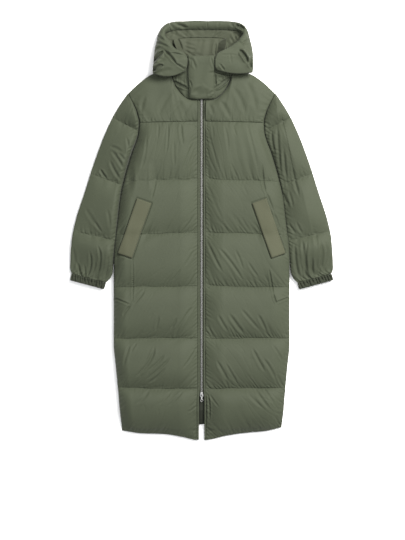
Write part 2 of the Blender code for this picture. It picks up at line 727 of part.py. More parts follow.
def chin_flap(paint):
    """The padded flap that covers the zip from the hood's edge down to the neck seam."""
    u = np.array((0.0, 0.03, 0.1, 0.22, 0.38, 0.5, 0.62, 0.78, 0.9, 0.97, 1.0))
    v = np.array((0.0, 0.02, 0.07, 0.16, 0.3, 0.46, 0.62, 0.78, 0.9, 0.97, 1.0))
    across, up = np.meshgrid(u, v)
    (x0, y0), (x1, y1) = FLAP_BOTTOM
    (x2, y2), (x3, y3) = FLAP_TOP
    x = (x0 + (x1 - x0) * across) * (1 - up) + (x2 + (x3 - x2) * across) * up
    y = (y0 + (y1 - y0) * across) * (1 - up) + (y2 + (y3 - y2) * across) * up
    y = y - 1.5 * np.sin(np.pi * across) * (2 * up - 1) ** 2
    low = collar_height(np.clip(y, NECK_Y, 602)) + LIE_GAP
    width, length = x1 - x0, y2 - y0
    sewn = ease((up - 0.6) / 0.12)
    right_room = (1 - across) * width * (1 - sewn) + width * sewn
    edge_u = roll(np.minimum(across * width, right_room), 24)
    edge_v = roll(np.minimum(up, 1 - up) * length, 26)
    thick = 5.0 + (FLAP_THICK - 5.0) * edge_u * edge_v
    outer = np.stack([x, y, low + thick], -1)
    inner = np.stack([x, y, low], -1)
    return wall("chin_flap", outer, inner, paint)


# ---------------------------------------------------------------- pockets
def top_of(panel, x, y):
    """Height of a panel's outer surface, in millimetres, above a point of the plan."""
    hit, where, _, _ = panel.ray_cast((x * MM, y * MM, 1.0), (0, 0, -1))
    return where[2] / MM if hit else 0.0


def seats(panel, places, steps):
    """Heights that a strip takes where it bridges the hollows of the panel it lies on."""
    heights = np.array([[top_of(panel, *place) for place in row] for row in places])
    steps = np.asarray(steps)
    slope = 0.24 * np.abs(steps[:, None] - steps[None, :])
    bridged = (heights[None, :, :] - slope[:, :, None]).max(axis=1)
    beside = np.pad(bridged, ((0, 0), (1, 1)), mode="edge")
    return np.maximum(np.maximum(beside[:, :-2], beside[:, 2:]), bridged)


def pocket_welt(side, panel, paint):
    """A slanted welt that lies on the front, made from the front's own heights."""
    sign = 1 if side == "left" else -1
    size = POCKET_WELT
    lean = math.radians(size["lean"])
    long_way = np.array([sign * math.sin(lean), -math.cos(lean)])
    wide_way = np.array([math.cos(lean), sign * math.sin(lean)])
    centre = np.array([sign * POCKET_WELT_CENTRE[0], POCKET_WELT_CENTRE[1]])
    u = np.array((0, 0.05, 0.2, 0.5, 0.8, 0.95, 1.0))
    v = np.concatenate([[0, 0.015], np.linspace(0.06, 0.94, 17), [0.985, 1.0]])
    across, down = np.meshgrid(u - 0.5, v - 0.5)
    plan = centre + wide_way * across[..., None] * size["width"]
    plan = plan + long_way * down[..., None] * size["length"]
    seat = seats(panel, plan, v * size["length"]) + LIE_GAP
    edge_u = roll((0.5 - np.abs(across)) * size["width"], 6)
    edge_v = roll((0.5 - np.abs(down)) * size["length"], 6)
    thick = 2.0 + (size["thick"] - 2.0) * edge_u * edge_v
    outer = np.dstack([plan, seat + thick])
    inner = np.dstack([plan, seat])
    return wall(f"pocket_welt_{side}", outer, inner, paint)


# ---------------------------------------------------------------- zip
def zip_path():
    """(place along the coat, height of the tape) from inside the slider to the collar's top."""
    path = [(SLIDER["y"] - 0.4 * SLIDER["length"], ZIP_HEIGHT), (430.0, ZIP_HEIGHT)]
    neck, top = COLLAR_STATIONS[0][:3], COLLAR_STATIONS[0][3:]
    for share in (0.0, 0.33, 0.66, 1.0):
        path.append(
            (
                neck[1] + (top[1] - neck[1]) * share,
                neck[2] + (top[2] - neck[2]) * share + 0.5,
            )
        )
    return path


def zip_strip(name, side, wide, low, high, paint):
    """A flat strip along the zip, from the middle out to wide, between two heights of its path."""
    sign = 1 if side == "left" else -1
    xs = (SEAM_GAP / 2, wide)
    outer = [[(sign * x, y, z + high) for x in xs] for y, z in zip_path()]
    inner = [[(sign * x, y, z + low) for x in xs] for y, z in zip_path()]
    return wall(f"{name}_{side}", np.array(outer), np.array(inner), paint)


def placket(side, paint):
    """The stitched strip beside the zip, from the hem to the neck seam."""
    sign = 1 if side == "left" else -1
    x0, x1 = ZIP_HALF, ZIP_HALF + PLACKET
    profile = [(x0, -2.5), (x0 + 1.2, -0.6), (x0 + 3, 0), (x1 - 2.5, 0), (x1 - 0.8, -0.8), (x1, -2.5)]
    ys = [NECK_Y - 0.5, 430.0, -600.0, -620.0, -637.5, -655.0, -672.5, -690.0, -718.0, -724.5]
    outer, inner = [], []
    for i, y in enumerate(ys):
        base = float(parting(y)) + SEAM_GAP
        tall = PLACKET_TOP - (4.0 if i == len(ys) - 1 else 0.0)
        outer.append([(sign * x, y, float(lay_over(y, tall)) + h) for x, h in profile])
        inner.append([(sign * x, y, base) for x, _ in profile])
    return wall(f"placket_{side}", np.array(outer), np.array(inner), paint)


def rounded_box(name, size, centre, bevel, paint):
    built = bmesh.new()
    bmesh.ops.create_cube(built, size=1.0)
    bmesh.ops.scale(built, vec=size, verts=built.verts)
    bmesh.ops.bevel(built, geom=built.edges, offset=bevel, segments=2, affect="EDGES", profile=0.5)
    bmesh.ops.translate(built, vec=centre, verts=built.verts)
    return finish_mesh(name, built, paint)


def slider(paint):
    """The lower slider: two plates with a web between them and a bail on top."""
    size, arch = SLIDER, BAIL
    half, length = size["width"] / 2, size["length"]
    y0 = size["y"]
    plate = [
        (-half * 0.62, y0), (half * 0.62, y0), (half * 0.74, y0 - 0.3 * length),
        (half, y0 - 0.55 * length), (half, y0 - 0.82 * length), (half * 0.72, y0 - length),
        (-half * 0.72, y0 - length), (-half, y0 - 0.82 * length), (-half, y0 - 0.55 * length),
        (-half * 0.74, y0 - 0.3 * length),
    ]
    low = ZIP_HEIGHT - size["height"] / 2
    high = ZIP_HEIGHT + size["height"] / 2
    body = prism("zip_slider", plate, high - size["plate"], high, paint)
    boolean(body, prism("plate", plate, low, low + size["plate"], paint), "UNION")
    web = rounded_box(
        "web", (3.4, 0.5 * length, size["height"] - 1.0),
        (0, y0 - 0.72 * length, ZIP_HEIGHT), 0.6, paint,
    )
    boolean(body, web, "UNION")
    centre_y = y0 - 0.5 * length
    bail = rounded_box(
        "bail", (arch["width"], arch["length"], arch["height"] + 1.0),
        (0, centre_y, high + arch["height"] / 2 - 0.5), 0.6, paint,
    )
    hole = rounded_box(
        "hole", (arch["width"] * 3, arch["length"] - 2 * arch["bar"], arch["height"] - arch["bar"]),
        (0, centre_y, high + (arch["height"] - arch["bar"]) / 2), 0.5, paint,
    )
    boolean(bail, hole, "DIFFERENCE")
    return boolean(body, bail, "UNION")


def tab_pivot():
    """The hinge axis of the pull tab: the middle of its pin inside the bail."""
    high = ZIP_HEIGHT + SLIDER["height"] / 2
    y = SLIDER["y"] - 0.5 * SLIDER["length"] - BAIL["length"] / 2 + BAIL["bar"] + TAB["pin"] + 0.5
    return 0.0, y, high + TAB["pin"] + 0.55


def pull_tab(paint):
    """The tab: a pin through the bail, two legs, a plate and a ring at its end."""
    size = TAB
    _, y0, z0 = tab_pivot()
    half, thin = size["width"] / 2, size["thick"] / 2
    reach = BAIL["length"] / 2 + 2.6
    plate = [
        (-half, y0 + 0.9), (half, y0 + 0.9), (half, y0 - 12), (half * 0.8, y0 - 14.5),
        (-half * 0.8, y0 - 14.5), (-half, y0 - 12),
    ]
    tab = prism("pull_tab", plate, z0 - thin, z0 + thin, paint)
    leg = half - 1.1
    window = [(-leg, y0 - 0.6), (leg, y0 - 0.6), (leg, y0 - reach), (-leg, y0 - reach)]
    boolean(tab, prism("window", window, z0 - 5, z0 + 5, paint), "DIFFERENCE")
    ring_y = y0 - size["length"] + size["ring"]
    angles = np.radians(np.arange(0, 360, 20))
    ring = [(size["ring"] * math.cos(a), ring_y + size["ring"] * math.sin(a)) for a in angles]
    hole = [(size["ring_hole"] * math.cos(a), ring_y + size["ring_hole"] * math.sin(a)) for a in angles]
    boolean(tab, prism("ring", ring, z0 - thin * 0.9, z0 + thin * 0.9, paint), "UNION")
    boolean(tab, prism("eye", hole, z0 - 5, z0 + 5, paint), "DIFFERENCE")
    return tab


# ---------------------------------------------------------------- the coat
def hang_on(pivot, thing):
    """Moves an object's origin to the pivot, in millimetres, with its shape where it was."""
    at = mathutils.Vector(pivot) * MM
    thing.data.transform(mathutils.Matrix.Translation(-at))
    thing.location = at


def main():
    clear_scene()
    shell = material("shell_fabric", (0.125, 0.145, 0.095), 0.6)
    rib = material("cuff_fabric", (0.10, 0.118, 0.078), 0.7)
    lining = material("lining_fabric", (0.165, 0.175, 0.115), 0.55)
    tape = material("zip_tape", (0.09, 0.105, 0.07), 0.8)
    metal = material("zip_metal", (0.72, 0.72, 0.70), 0.3, 1.0)

    back_panel(shell)
    for side in ("left", "right"):
        front = front_panel(side, shell)
        front_yoke(side, shell)
        sleeve(side, shell)
        cuff(side, rib)
        bpy.context.view_layer.update()
        pocket_welt(side, front, shell)
        zip_strip("zip_tape", side, ZIP_HALF - SEAM_GAP, *TAPE, tape)
        zip_strip("zip_teeth", side, CHAIN_HALF, *TEETH, metal)
        placket(side, shell)
    first_seam, last_seam = HOOD_SEAMS
    gap = SEAM_GAP / 2 + 0.1
    end = len(HOOD_STATIONS) - 1
    hood_panel("hood_right", 0, first_seam, HOOD_WALL, shell, trim_last=gap)
    hood_panel("hood_top", first_seam, last_seam, HOOD_TOP_WALL, shell, gap, gap)
    hood_panel("hood_left", last_seam, end, HOOD_WALL, shell, trim_first=gap)
    hood_back(lining)
    collar(lining)
    chin_flap(shell)
    slider(metal)
    hang_on(tab_pivot(), pull_tab(metal))


main()
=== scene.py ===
"""The cloth, seams, zip and materials of a long hooded puffer coat that lies flat on its back.

Lengths in the tables are millimetres. The coat's hood points towards +Y and the wearer's left
is +X. Every padded piece is a fine grid of points over the shape that its solid has. The grid is
cut a little larger than its place and then settles over its stuffing, so that it puckers.
"""

import math

import bmesh
import bpy
import numpy as np
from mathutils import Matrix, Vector
from mathutils.bvhtree import BVHTree


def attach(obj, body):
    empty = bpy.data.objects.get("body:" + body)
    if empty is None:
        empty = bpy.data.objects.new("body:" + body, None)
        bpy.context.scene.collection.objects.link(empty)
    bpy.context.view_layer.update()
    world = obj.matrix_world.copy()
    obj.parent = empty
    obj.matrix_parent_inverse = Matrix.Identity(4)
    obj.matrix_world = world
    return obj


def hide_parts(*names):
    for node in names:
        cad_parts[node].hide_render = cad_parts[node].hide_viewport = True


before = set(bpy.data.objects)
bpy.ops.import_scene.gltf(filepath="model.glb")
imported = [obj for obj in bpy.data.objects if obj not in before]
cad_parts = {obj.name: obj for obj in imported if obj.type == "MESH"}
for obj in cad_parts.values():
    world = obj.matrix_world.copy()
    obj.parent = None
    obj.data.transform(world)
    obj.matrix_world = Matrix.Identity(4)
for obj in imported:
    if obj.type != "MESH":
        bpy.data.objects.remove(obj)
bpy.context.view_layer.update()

MM = 0.001
COAT = "coat"
TAB = "pull_tab"
SIGN = {"left": 1, "right": -1}  # the wearer's sides, along X

# ---------------------------------------------------------------- sizes
SEAM_GAP = 0.3  # between two pieces that are sewn together
LIE_GAP = 0.8  # between a piece and the padded piece that it lies on
MID = 22.0  # height of the plane where the front layer lies on the back layer
CROWN = 36.5  # thickness of a front in the middle of a channel
YOKE_VALLEY = 19.0  # its thickness along the yoke seam
HEM_VALLEY = 11.0  # its thickness along the hem
FRONT_VALLEYS = (YOKE_VALLEY, 21.5, 20.5, 17.5, 15.0, 14.0)  # its thickness along each seam
YOKE_CROWN = 25.0
THIN = 3.0  # thickness of a layer along a side seam or an armhole
SIDE_ROLL = {"left": 66.0, "right": 46.0}  # how far a channel takes to rise from the side seam
ZIP_HALF = 6.4  # half the width of the zip with its tapes
PLACKET = 7.4  # width of the stitched strip on each side of the zip
PLACKET_TOP = 14.0  # thickness of a front at the zip
SLIT_MORE = 2.8  # how much further each edge stands out below the slider
ZIP_ROLL = 64.0  # how far a channel takes to rise from the zip
INNER_X = ZIP_HALF + PLACKET + SEAM_GAP
NECK_Y = 452.0  # where the zip passes under the collar
FRONT_HEM_Y = -725.0
BACK_HEM_Y = -670.0
HEM_DROP = (-690.0, -620.0)  # between these the parting plane climbs from the floor to MID
UNDER_ROLL = 26.0  # how far the underside takes to come down to the floor from an edge
# Spacing of the grids before they are refined, and their columns.
PITCH = 4.1
YOKE_PITCH = 3.4
BACK_PITCH = 5.6
COLLAR_PITCH = 3.3
HOOD_PITCH = (3.8, 3.6)  # along the rim, across it
FRONT_COLS = 72
BACK_COLS = 85
SLEEVE_COLS = 80
HOOD_COLS = 58
CHEST_LOW = 172  # the chest's channel, whose creases are upright, ends at this height

# Quilting seams of the body: height at the zip and at the side.
BODY_SEAMS = ((380, 375), (180, 170), (-6, -13), (-190, -195), (-371, -371), (-547, -541))

# Edge of the body, from the shoulder tip round the armhole and down the side seam.
BODY_EDGE = (
    # height, half width
    (476, 254.3), (438, 235), (404, 221.5), (376, 215.5), (342, 217.5), (310, 226), (276, 239),
    (224, 255), (159, 272), (107, 284), (45, 291), (-7, 297), (-59, 303), (-114, 304.5),
    (-393, 304.5), (-462, 298), (-566, 288), (-635, 282), (-695, 276),
)
# Lower edge of each front, from the zip outwards.
HEMS = {
    # distance from the zip, height
    "right": ((9.5, -725), (25, -723.5), (59, -716), (134, -704), (206, -702), (276, -692)),
    "left": ((9.5, -725), (36, -721.5), (83, -710), (161, -699), (222, -693.5), (276.5, -681)),
}
# Upper edge of the back, from the middle of the neck, and the shoulder line out to its tip.
BACK_NECK = ((0, 555.6), (30, 556.1), (60, 558.0), (84, 559.8))
SHOULDER = (
    # x, y
    (106, 558), (120, 557.5), (140, 554), (160, 547.5), (179.4, 539), (205, 521.5), (226, 504),
    (242, 488.5), (254.3, 476),
)

SLEEVE_OUTER = (
    # height, distance from the middle
    (469, 261.5), (417, 295.5), (348, 330), (245, 369.5), (141, 403), (38, 436), (-31, 450),
    (-100, 455), (-128, 455.5), (-146, 451),
)
SLEEVE_INNER_LOW = ((-114, 306.5), (-140, 308.5), (-160, 316), (-178, 331.5))
# Where a sleeve's inner edge lies against the body: height, gap to the body's edge.
ARMPIT = (
    (-114, 2.0), (-60, -0.8), (110, -0.8), (150, 3.2), (200, 3.4), (262, 2.4), (385, 2.0), (425, 1.0),
)
# Seams of a sleeve from the shoulder to the cuff: height at the inner and at the outer edge.
SLEEVE_SEAMS = ((474.8, 468.8), (345, 393), (158, 199), (-33, 0), (-178, -146))
SLEEVE_CROWN = 37.0
SLEEVE_VALLEY = 15.0  # thickness of a sleeve's upper side along a quilting seam
CUFF_HEIGHT = 26.0  # full height of the cuff's two layers
CUFF_DEPTH = 24.0  # from the gathering seam to the cuff's edge
CUFF_STEPS = 120  # points across each of a cuff's sides
CUFF_SLIT = 3.0  # height of the opening inside it

# lean is in degrees, lift is how far the stiff welt holds up the quilting seams under it.
WELT = {"length": 201.0, "width": 53.0, "thick": 5.5, "lean": 19.5, "lift": 7.0}
WELT_CENTRE = (231.5, 9.0)  # distance from the zip, height

# Half of the collar, from the zip round to the middle of the back.
COLLAR_STATIONS = (
    # neck x, y, z, top x, y, z
    (9.6, 452, 31, 9.6, 602, 59), (18, 452.2, 31, 20, 602.2, 59), (31, 453.5, 31, 35, 602.7, 59),
    (46, 458, 31, 52, 604, 57.5), (62, 468.5, 31, 64, 607, 55), (77, 484, 31, 73, 611.5, 52),
    (89, 503, 31, 80, 619, 48), (98, 525, 30, 85, 629, 42), (102.5, 543, 28, 86.5, 639, 36.5),
    (103, 557, 26.4, 87, 652, 31), (90, 562, 23.4, 80, 665, 25.5), (60, 559, 21, 56, 669.5, 22),
    (30, 557, 21, 28, 670, 22), (0, 556.5, 21, 0, 670, 22),
)
COLLAR_SIDE = 9  # the station where the shoulder seams meet the collar
COLLAR_WALL = 11.0
COLLAR_SEAM = 0.34  # share of the grid's rows below the seam between the collar's two rolls

ZIP_HEIGHT = MID + 9.5  # height of the middle of the zip's tape on the fronts
TEETH = (-0.1, 1.8)  # underside and top of the teeth, from the tape's middle
TAPE = (-1.6, -0.2)  # underside and top of the tape
SLIDER = {"y": -557.0, "length": 17.0, "width": 11.5, "plate": 2.0, "height": 8.6}
BAIL = {"length": 8.4, "height": 4.6, "bar": 1.2}
TAB_SIZE = {"length": 23.0, "width": 5.4, "thick": 1.5, "pin": 0.8, "ring": 5.0, "ring_hole": 3.0}
STITCH = {"long": 2.5, "pitch": 3.3, "half_thick": 0.26}


# ---------------------------------------------------------------- curves and grids
def through(table, at):
    """Smooth curve through (knot, value) pairs that never swings past them."""
    table = np.asarray(table, float)
    table = table[np.argsort(table[:, 0])]
    knot, value = table[:, 0], table[:, 1]
    at = np.clip(at, knot[0], knot[-1])
    step = np.diff(knot)
    slope = np.diff(value) / step
    lean = np.empty_like(value)
    lean[0], lean[-1] = slope[0], slope[-1]
    same_way = slope[:-1] * slope[1:] > 0
    total = np.where(same_way, slope[:-1] + slope[1:], 1.0)
    lean[1:-1] = np.where(same_way, 2 * slope[:-1] * slope[1:] / total, 0.0)
    i = np.clip(np.searchsorted(knot, at, side="right") - 1, 0, len(step) - 1)
    s = (at - knot[i]) / step[i]
    return (
        value[i] * (2 * s**3 - 3 * s**2 + 1)
        + lean[i] * step[i] * (s**3 - 2 * s**2 + s)
        + value[i + 1] * (3 * s**2 - 2 * s**3)
        + lean[i + 1] * step[i] * (s**3 - s**2)
    )


def reach_of(points):
    """Length along a line of points, from 0, at each of them."""
    steps = np.linalg.norm(np.diff(points, axis=0), axis=1)
    return np.concatenate([[0], np.cumsum(steps)])


def curve_at(table, reach, at):
    """The columns of a table on smooth curves, at lengths along it."""
    return np.stack([through(np.stack([reach, column], 1), at) for column in table.T], -1)


def line_at(line, reach, at):
    """Points on straight lines between those of a line, at lengths along it."""
    return np.stack([np.interp(at, reach, column) for column in line.T], -1)


def along(points, share):
    """Points on a smooth curve through the given ones, at shares of its length."""
    points = np.asarray(points, float)
    reach = reach_of(points)
    return curve_at(points, reach, np.asarray(share) * reach[-1])


def evenly(points, count):
    """count points spread evenly along a line of points."""
    reach = reach_of(points)
    return line_at(points, reach, np.linspace(0, reach[-1], count))


def roll(distance, reach):
    """0 at an edge, 1 from reach inwards, round like a quarter of an ellipse."""
    share = np.clip(np.asarray(distance, float) / reach, 0, 1)
    return np.sqrt(1 - (1 - share) ** 2)


def ease(share):
    """0 up to a share of 0, 1 from a share of 1, with a soft start and a soft end between."""
    share = np.clip(share, 0, 1)
    return share * share * (3 - 2 * share)


def bell(x):
    """1 at 0, falling off like a bell on both sides."""
    return np.exp(-(x**2))


def puff(share):
    """Height of a stuffed channel across its width, 0 at both seams and 1 in the middle."""
    return np.sin(np.pi * np.clip(share, 0, 1)) ** 0.72


def hang(share):
    """The same for a channel that is full below its upper seam and falls to its lower one."""
    share = np.clip(share, 0, 1)
    rise = 1 - (1 - np.minimum(share / 0.5, 1)) ** 3.0
    return rise * (1 - np.maximum((share - 0.46) / 0.54, 0) ** 2.3)


def dense_ends(count):
    """Shares from 0 to 1, closer together near both ends."""
    t = np.linspace(0, 1, count)
    return t - 0.45 * np.sin(2 * np.pi * t) / (2 * np.pi)


def channels(ends, pitch):
    """Each row's channel and share across it, and the rows of the seams, from the ends' heights."""
    rows, seam_rows = [], [0]
    for k, (upper, lower) in enumerate(zip(ends[:-1], ends[1:])):
        count = int(round((upper - lower) / pitch / 2)) * 2 + 1
        last = k == len(ends) - 2
        rows += [(k, share) for share in dense_ends(count)[: None if last else -1]]
        seam_rows.append(len(rows))
    seam_rows[-1] -= 1
    return rows, seam_rows


def parting(y):
    """Height of the plane between the two layers: it comes down to the floor at the hem."""
    low, high = HEM_DROP
    return MID * np.clip((np.asarray(y, float) - low) / (high - low), 0, 1)


def lay_over(y, thick):
    """Height of an outer surface over the parting plane, with the plane's bends softened."""
    flat = parting(y)
    low, high = HEM_DROP
    soft = MID * ease((np.asarray(y, float) - low + 45) / (high - low + 110))
    return flat + SEAM_GAP + thick + (soft - flat) * np.minimum(1, thick / 24.0) ** 1.5


def grid_normals(points):
    """Unit normals of a grid of points, rows x columns."""
    normal = np.cross(np.gradient(points, axis=1), np.gradient(points, axis=0))
    return normal / np.maximum(np.linalg.norm(normal, axis=-1, keepdims=True), 1e-9)


def outwards(points, centre):
    """Normals of a grid, on the side away from a centre."""
    normal = grid_normals(points)
    return normal * np.sign(np.sum(normal * (points - np.asarray(centre)), axis=-1).mean())


def upwards(points):
    """Normals of a grid, on the side that looks up."""
    normal = grid_normals(points)
    return normal * np.sign(normal[..., 2].mean())


def far_from(indices, count):
    """Distance in rows from the nearest listed row."""
    return np.abs(np.arange(count)[:, None] - np.array(indices)[None, :]).min(axis=1)


def body_edge(y):
    """Half the width of the body at a height."""
    return through(BODY_EDGE, y)


def slit_more(y):
    """How much further the two edges stand apart below the slider, where the zip is open."""
    return SLIT_MORE * ease((-540 - np.asarray(y, float)) / 50)


def arm_lift(y):
    """How much an armhole's edges stand up: fully at the shoulder, not at all at the armpit."""
    return 8.0 * ease((np.asarray(y, float) - 300) / 110)


# ---------------------------------------------------------------- cloth
def grain(shape, spacing, angle, long, short, seed):
    """Soft noise drawn out along one direction, on a grid of the given spacing (y, x).

    angle is in degrees from +X towards +Y. long and short are lengths in millimetres.
    """
    rng = np.random.default_rng(seed)
    rows, cols = shape
    field = rng.standard_normal((rows + 40, cols + 40))
    ky = np.fft.fftfreq(field.shape[0], spacing[0])[:, None] * 2 * np.pi
    kx = np.fft.fftfreq(field.shape[1], spacing[1])[None, :] * 2 * np.pi
    turn = math.radians(angle)
    with_it = kx * math.cos(turn) + ky * math.sin(turn)
    over_it = -kx * math.sin(turn) + ky * math.cos(turn)
    keep = np.exp(-0.5 * (with_it * long) ** 2 - 0.5 * (over_it * short) ** 2)
    keep = keep * (1 - np.exp(-0.5 * (over_it * short * 2.2) ** 2))
    field = np.real(np.fft.ifft2(np.fft.fft2(field) * keep))[20:-20, 20:-20]
    return field / field.std()


def pull_together(at, first, second, rest, push):
    """Moves two sets of points towards their distance at rest, half each."""
    a, b = at[first], at[second]
    gap = b - a
    length = np.maximum(np.sqrt(np.einsum("...i,...i", gap, gap)), 1e-6)
    off = (length - rest) / length
    off = np.where(off > 0, off, off * push) * 0.5
    step = gap * off[..., None]
    at[first] = a + step
    at[second] = b - step


def links(points, more_across, more_down):
    """Index pairs and rest lengths of a grid's threads, in sets that share no point."""
    sets = []

    def add(first, second, more):
        rest = np.linalg.norm(points[second] - points[first], axis=-1)
        sets.append((first, second, rest * (1 + 0.5 * (more[first] + more[second]))))

    rows, cols = points.shape[:2]
    every = slice(None)
    for k in (0, 1):
        n = (cols - k) // 2 * 2
        add((every, slice(k, k + n, 2)), (every, slice(k + 1, k + n, 2)), more_across)
        n = (rows - k) // 2 * 2
        add((slice(k, k + n, 2), every), (slice(k + 1, k + n, 2), every), more_down)
    both = 0.5 * (more_across + more_down)
    for k in (0, 1):
        n = (rows - k) // 2 * 2
        upper, lower = slice(k, k + n, 2), slice(k + 1, k + n, 2)
        add((upper, slice(0, -1)), (lower, slice(1, None)), both)
        add((upper, slice(1, None)), (lower, slice(0, -1)), both)
    return sets


def bend_back(move):
    """How sharply a field of shifts bends, with free edges."""
    padded = np.pad(move, ((1, 1), (1, 1), (0, 0)), mode="edge")
    return padded[:-2, 1:-1] + padded[2:, 1:-1] + padded[1:-1, :-2] + padded[1:-1, 2:] - 4 * move


def settle(base, normal, more_across, more_down, free, start, stuffing=0.006, cap=6.0):
    """Lets a grid of cloth, cut larger than its place, pucker over its stuffing.

    more_across and more_down are the shares of extra cloth, free is 0 where the cloth is sewn
    down, start is a first uneven height along the normals. stuffing holds the cloth near its
    place, and cap is the most that a point may move.
    """
    steps = 90
    stiff = 0.006  # how strongly the cloth resists sharp bends
    push = 0.8  # how much less a thread resists being pushed together than being pulled apart
    slip = 0.02  # how much of a slide along the surface is taken back at each step
    free = free[..., None]
    at = base + normal * (start[..., None] * free)
    shape = base.shape[:2]
    sets = links(base, np.broadcast_to(more_across, shape), np.broadcast_to(more_down, shape))
    for _ in range(steps):
        for first, second, rest in sets:
            pull_together(at, first, second, rest, push)
        move = (at - base) * free
        move = move - stiff * bend_back(bend_back(move))
        out = np.sum(move * normal, axis=-1, keepdims=True) * normal
        move = move - stuffing * out - slip * (move - out)
        at = base + move * free
    move = at - base
    size = np.linalg.norm(move, axis=-1, keepdims=True)
    return base + move * np.minimum(1, cap / np.maximum(size, 1e-6))


def sewn(shape, rows=(0, -1)):
    """How free each point of a grid is: 0 along its sides and the listed rows, 1 elsewhere."""
    free = np.ones(shape)
    free[list(rows)] = 0
    free[:, [0, -1]] = 0
    return free


def refine(grid):
    """The same surface with twice as many rows and columns."""
    for axis in (0, 1):
        points = np.moveaxis(grid, axis, 0)
        wide = np.concatenate([2 * points[:1] - points[1:2], points, 2 * points[-1:] - points[-2:-1]])
        finer = np.empty((2 * len(points) - 1, *points.shape[1:]))
        finer[0::2] = points
        finer[1::2] = (9 * (points[:-1] + points[1:]) - wide[:-3] - wide[3:]) / 16
        grid = np.moveaxis(finer, 0, axis)
    return grid


def channel_rooms(y, seam_rows):
    """Distances of every point of a grid from the seams above and below it."""
    above, below = np.empty_like(y), np.empty_like(y)
    for top, bottom in zip(seam_rows[:-1], seam_rows[1:]):
        part = slice(top, bottom + 1)
        above[part] = np.abs(y[top] - y[part])
        below[part] = np.abs(y[part] - y[bottom])
    return above, below


def gathers(along_seam, away, span, spacing, lean, reach, deep, seed):
    """Short slanted puckers beside a seam. They lean back along it as they leave it."""
    rng = np.random.default_rng(seed)
    height = np.zeros(np.broadcast_shapes(along_seam.shape, away.shape))
    at = span[0]
    while at < span[1]:
        at += rng.uniform(*spacing)
        tilt, width = rng.uniform(*lean), rng.uniform(2.0, 3.6)
        length = reach[0] + (reach[1] - reach[0]) * rng.random() ** 2
        off = np.abs(along_seam + tilt * away - at) / (width * (1 + away / 50))
        dent = bell(off) - 0.45 * bell(off - 1.9)
        height -= rng.uniform(0.3, 1) * deep * bell(away / length) * dent
    return height


def fine_lines(shape, spacing, angle, long, short, seed):
    """Thin wandering creases, 0 to 1, drawn out along one direction."""
    return bell(grain(shape, spacing, angle, long, short, seed) / 0.22)


def patches(shape, spacing, seed, middle=0.5, most=1.3):
    """Soft patches in which the fine creases show or fade."""
    return np.clip(grain(shape, spacing, 60, 40, 40, seed) * 0.5 + middle, 0, most)


def beside(x, y, ends, reach):
    """Which points of a grid lie beside a bent line, how far to its left, and its fade at both ends."""
    first, through_point, last = np.array(ends, float).reshape(3, 2)
    t = np.linspace(0, 1, 28)[:, None]
    bent = 2 * through_point - 0.5 * (first + last)
    line = (1 - t) ** 2 * first + 2 * t * (1 - t) * bent + t**2 * last
    low, high = line.min(axis=0) - reach, line.max(axis=0) + reach
    near = (x > low[0]) & (x < high[0]) & (y > low[1]) & (y < high[1])
    gap = np.stack([x[near], y[near]], -1)[:, None] - line[None]
    away = np.linalg.norm(gap, axis=-1)
    nearest = away.argmin(axis=1) if len(gap) else np.zeros(0, int)
    run = np.gradient(line, axis=0)[nearest]
    gap = gap[np.arange(len(gap)), nearest]
    side = np.sign(run[:, 0] * gap[:, 1] - run[:, 1] * gap[:, 0])
    share = nearest / (len(line) - 1)
    fade = ease(share / 0.3) * ease((1 - share) / 0.3)
    return near, side * away[np.arange(len(gap)), nearest], fade


def crease(x, y, table):
    """Height that the listed creases add to a surface seen from above.

    Each runs from a first point through a middle one to a last one, has a half width and a depth,
    and has a low lip on both sides. It fades out at both ends.
    """
    height = np.zeros(x.shape)
    for *ends, width, deep in table:
        near, away, fade = beside(x, y, ends, 4 * width)
        off = np.abs(away) / (width * (0.4 + 0.4 * fade))
        height[near] -= deep * fade * (bell(off) - 0.42 * bell(off - 1.9))
    return height


def fold(x, y, table):
    """Height of folds that overlap: the cloth to the left of each line stands over that to its right."""
    height = np.zeros(x.shape)
    for *ends, reach, rise in table:
        near, away, fade = beside(x, y, ends, 4 * reach)
        side = np.tanh((away - 1.0) / 1.3)
        height[near] += rise * fade * (0.5 * side + 0.1) * np.exp(-np.abs(away) / reach)
    return height


# ---------------------------------------------------------------- meshes
MATERIALS = {}


def make_object(name, vertices, faces, look, body=COAT, slot=None, smooth=True):
    """A closed mesh from points in millimetres, its faces outwards, riding on a body of the frame."""
    mesh = bpy.data.meshes.new(name)
    mesh.from_pydata([tuple(v) for v in np.asarray(vertices) * MM], [], faces)
    mesh.validate()
    mesh.materials.append(MATERIALS[look])
    if smooth:
        mesh.shade_smooth()
    made = bpy.data.objects.new(name, mesh)
    bpy.context.scene.collection.objects.link(made)
    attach(made, body)
    slot or look
    built = bmesh.new()
    built.from_mesh(mesh)
    bmesh.ops.recalc_face_normals(built, faces=built.faces)
    built.to_mesh(mesh)
    built.free()
    return made


def grid_faces(rows, cols, start=0, ring=False):
    """Quads of a grid whose points are numbered row by row."""
    r = np.arange(rows - 1)[:, None]
    c = np.arange(cols if ring else cols - 1)[None, :]
    n = (c + 1) % cols
    quads = np.stack([r * cols + c, r * cols + n, (r + 1) * cols + n, (r + 1) * cols + c], -1)
    return (quads.reshape(-1, 4) + start).tolist()


def border(rows, cols):
    """Row and column of each point round the edge of a grid, in order."""
    top = [(0, c) for c in range(cols)]
    right = [(r, cols - 1) for r in range(1, rows)]
    bottom = [(rows - 1, c) for c in range(cols - 2, -1, -1)]
    left = [(r, 0) for r in range(rows - 2, 0, -1)]
    return top + right + bottom + left


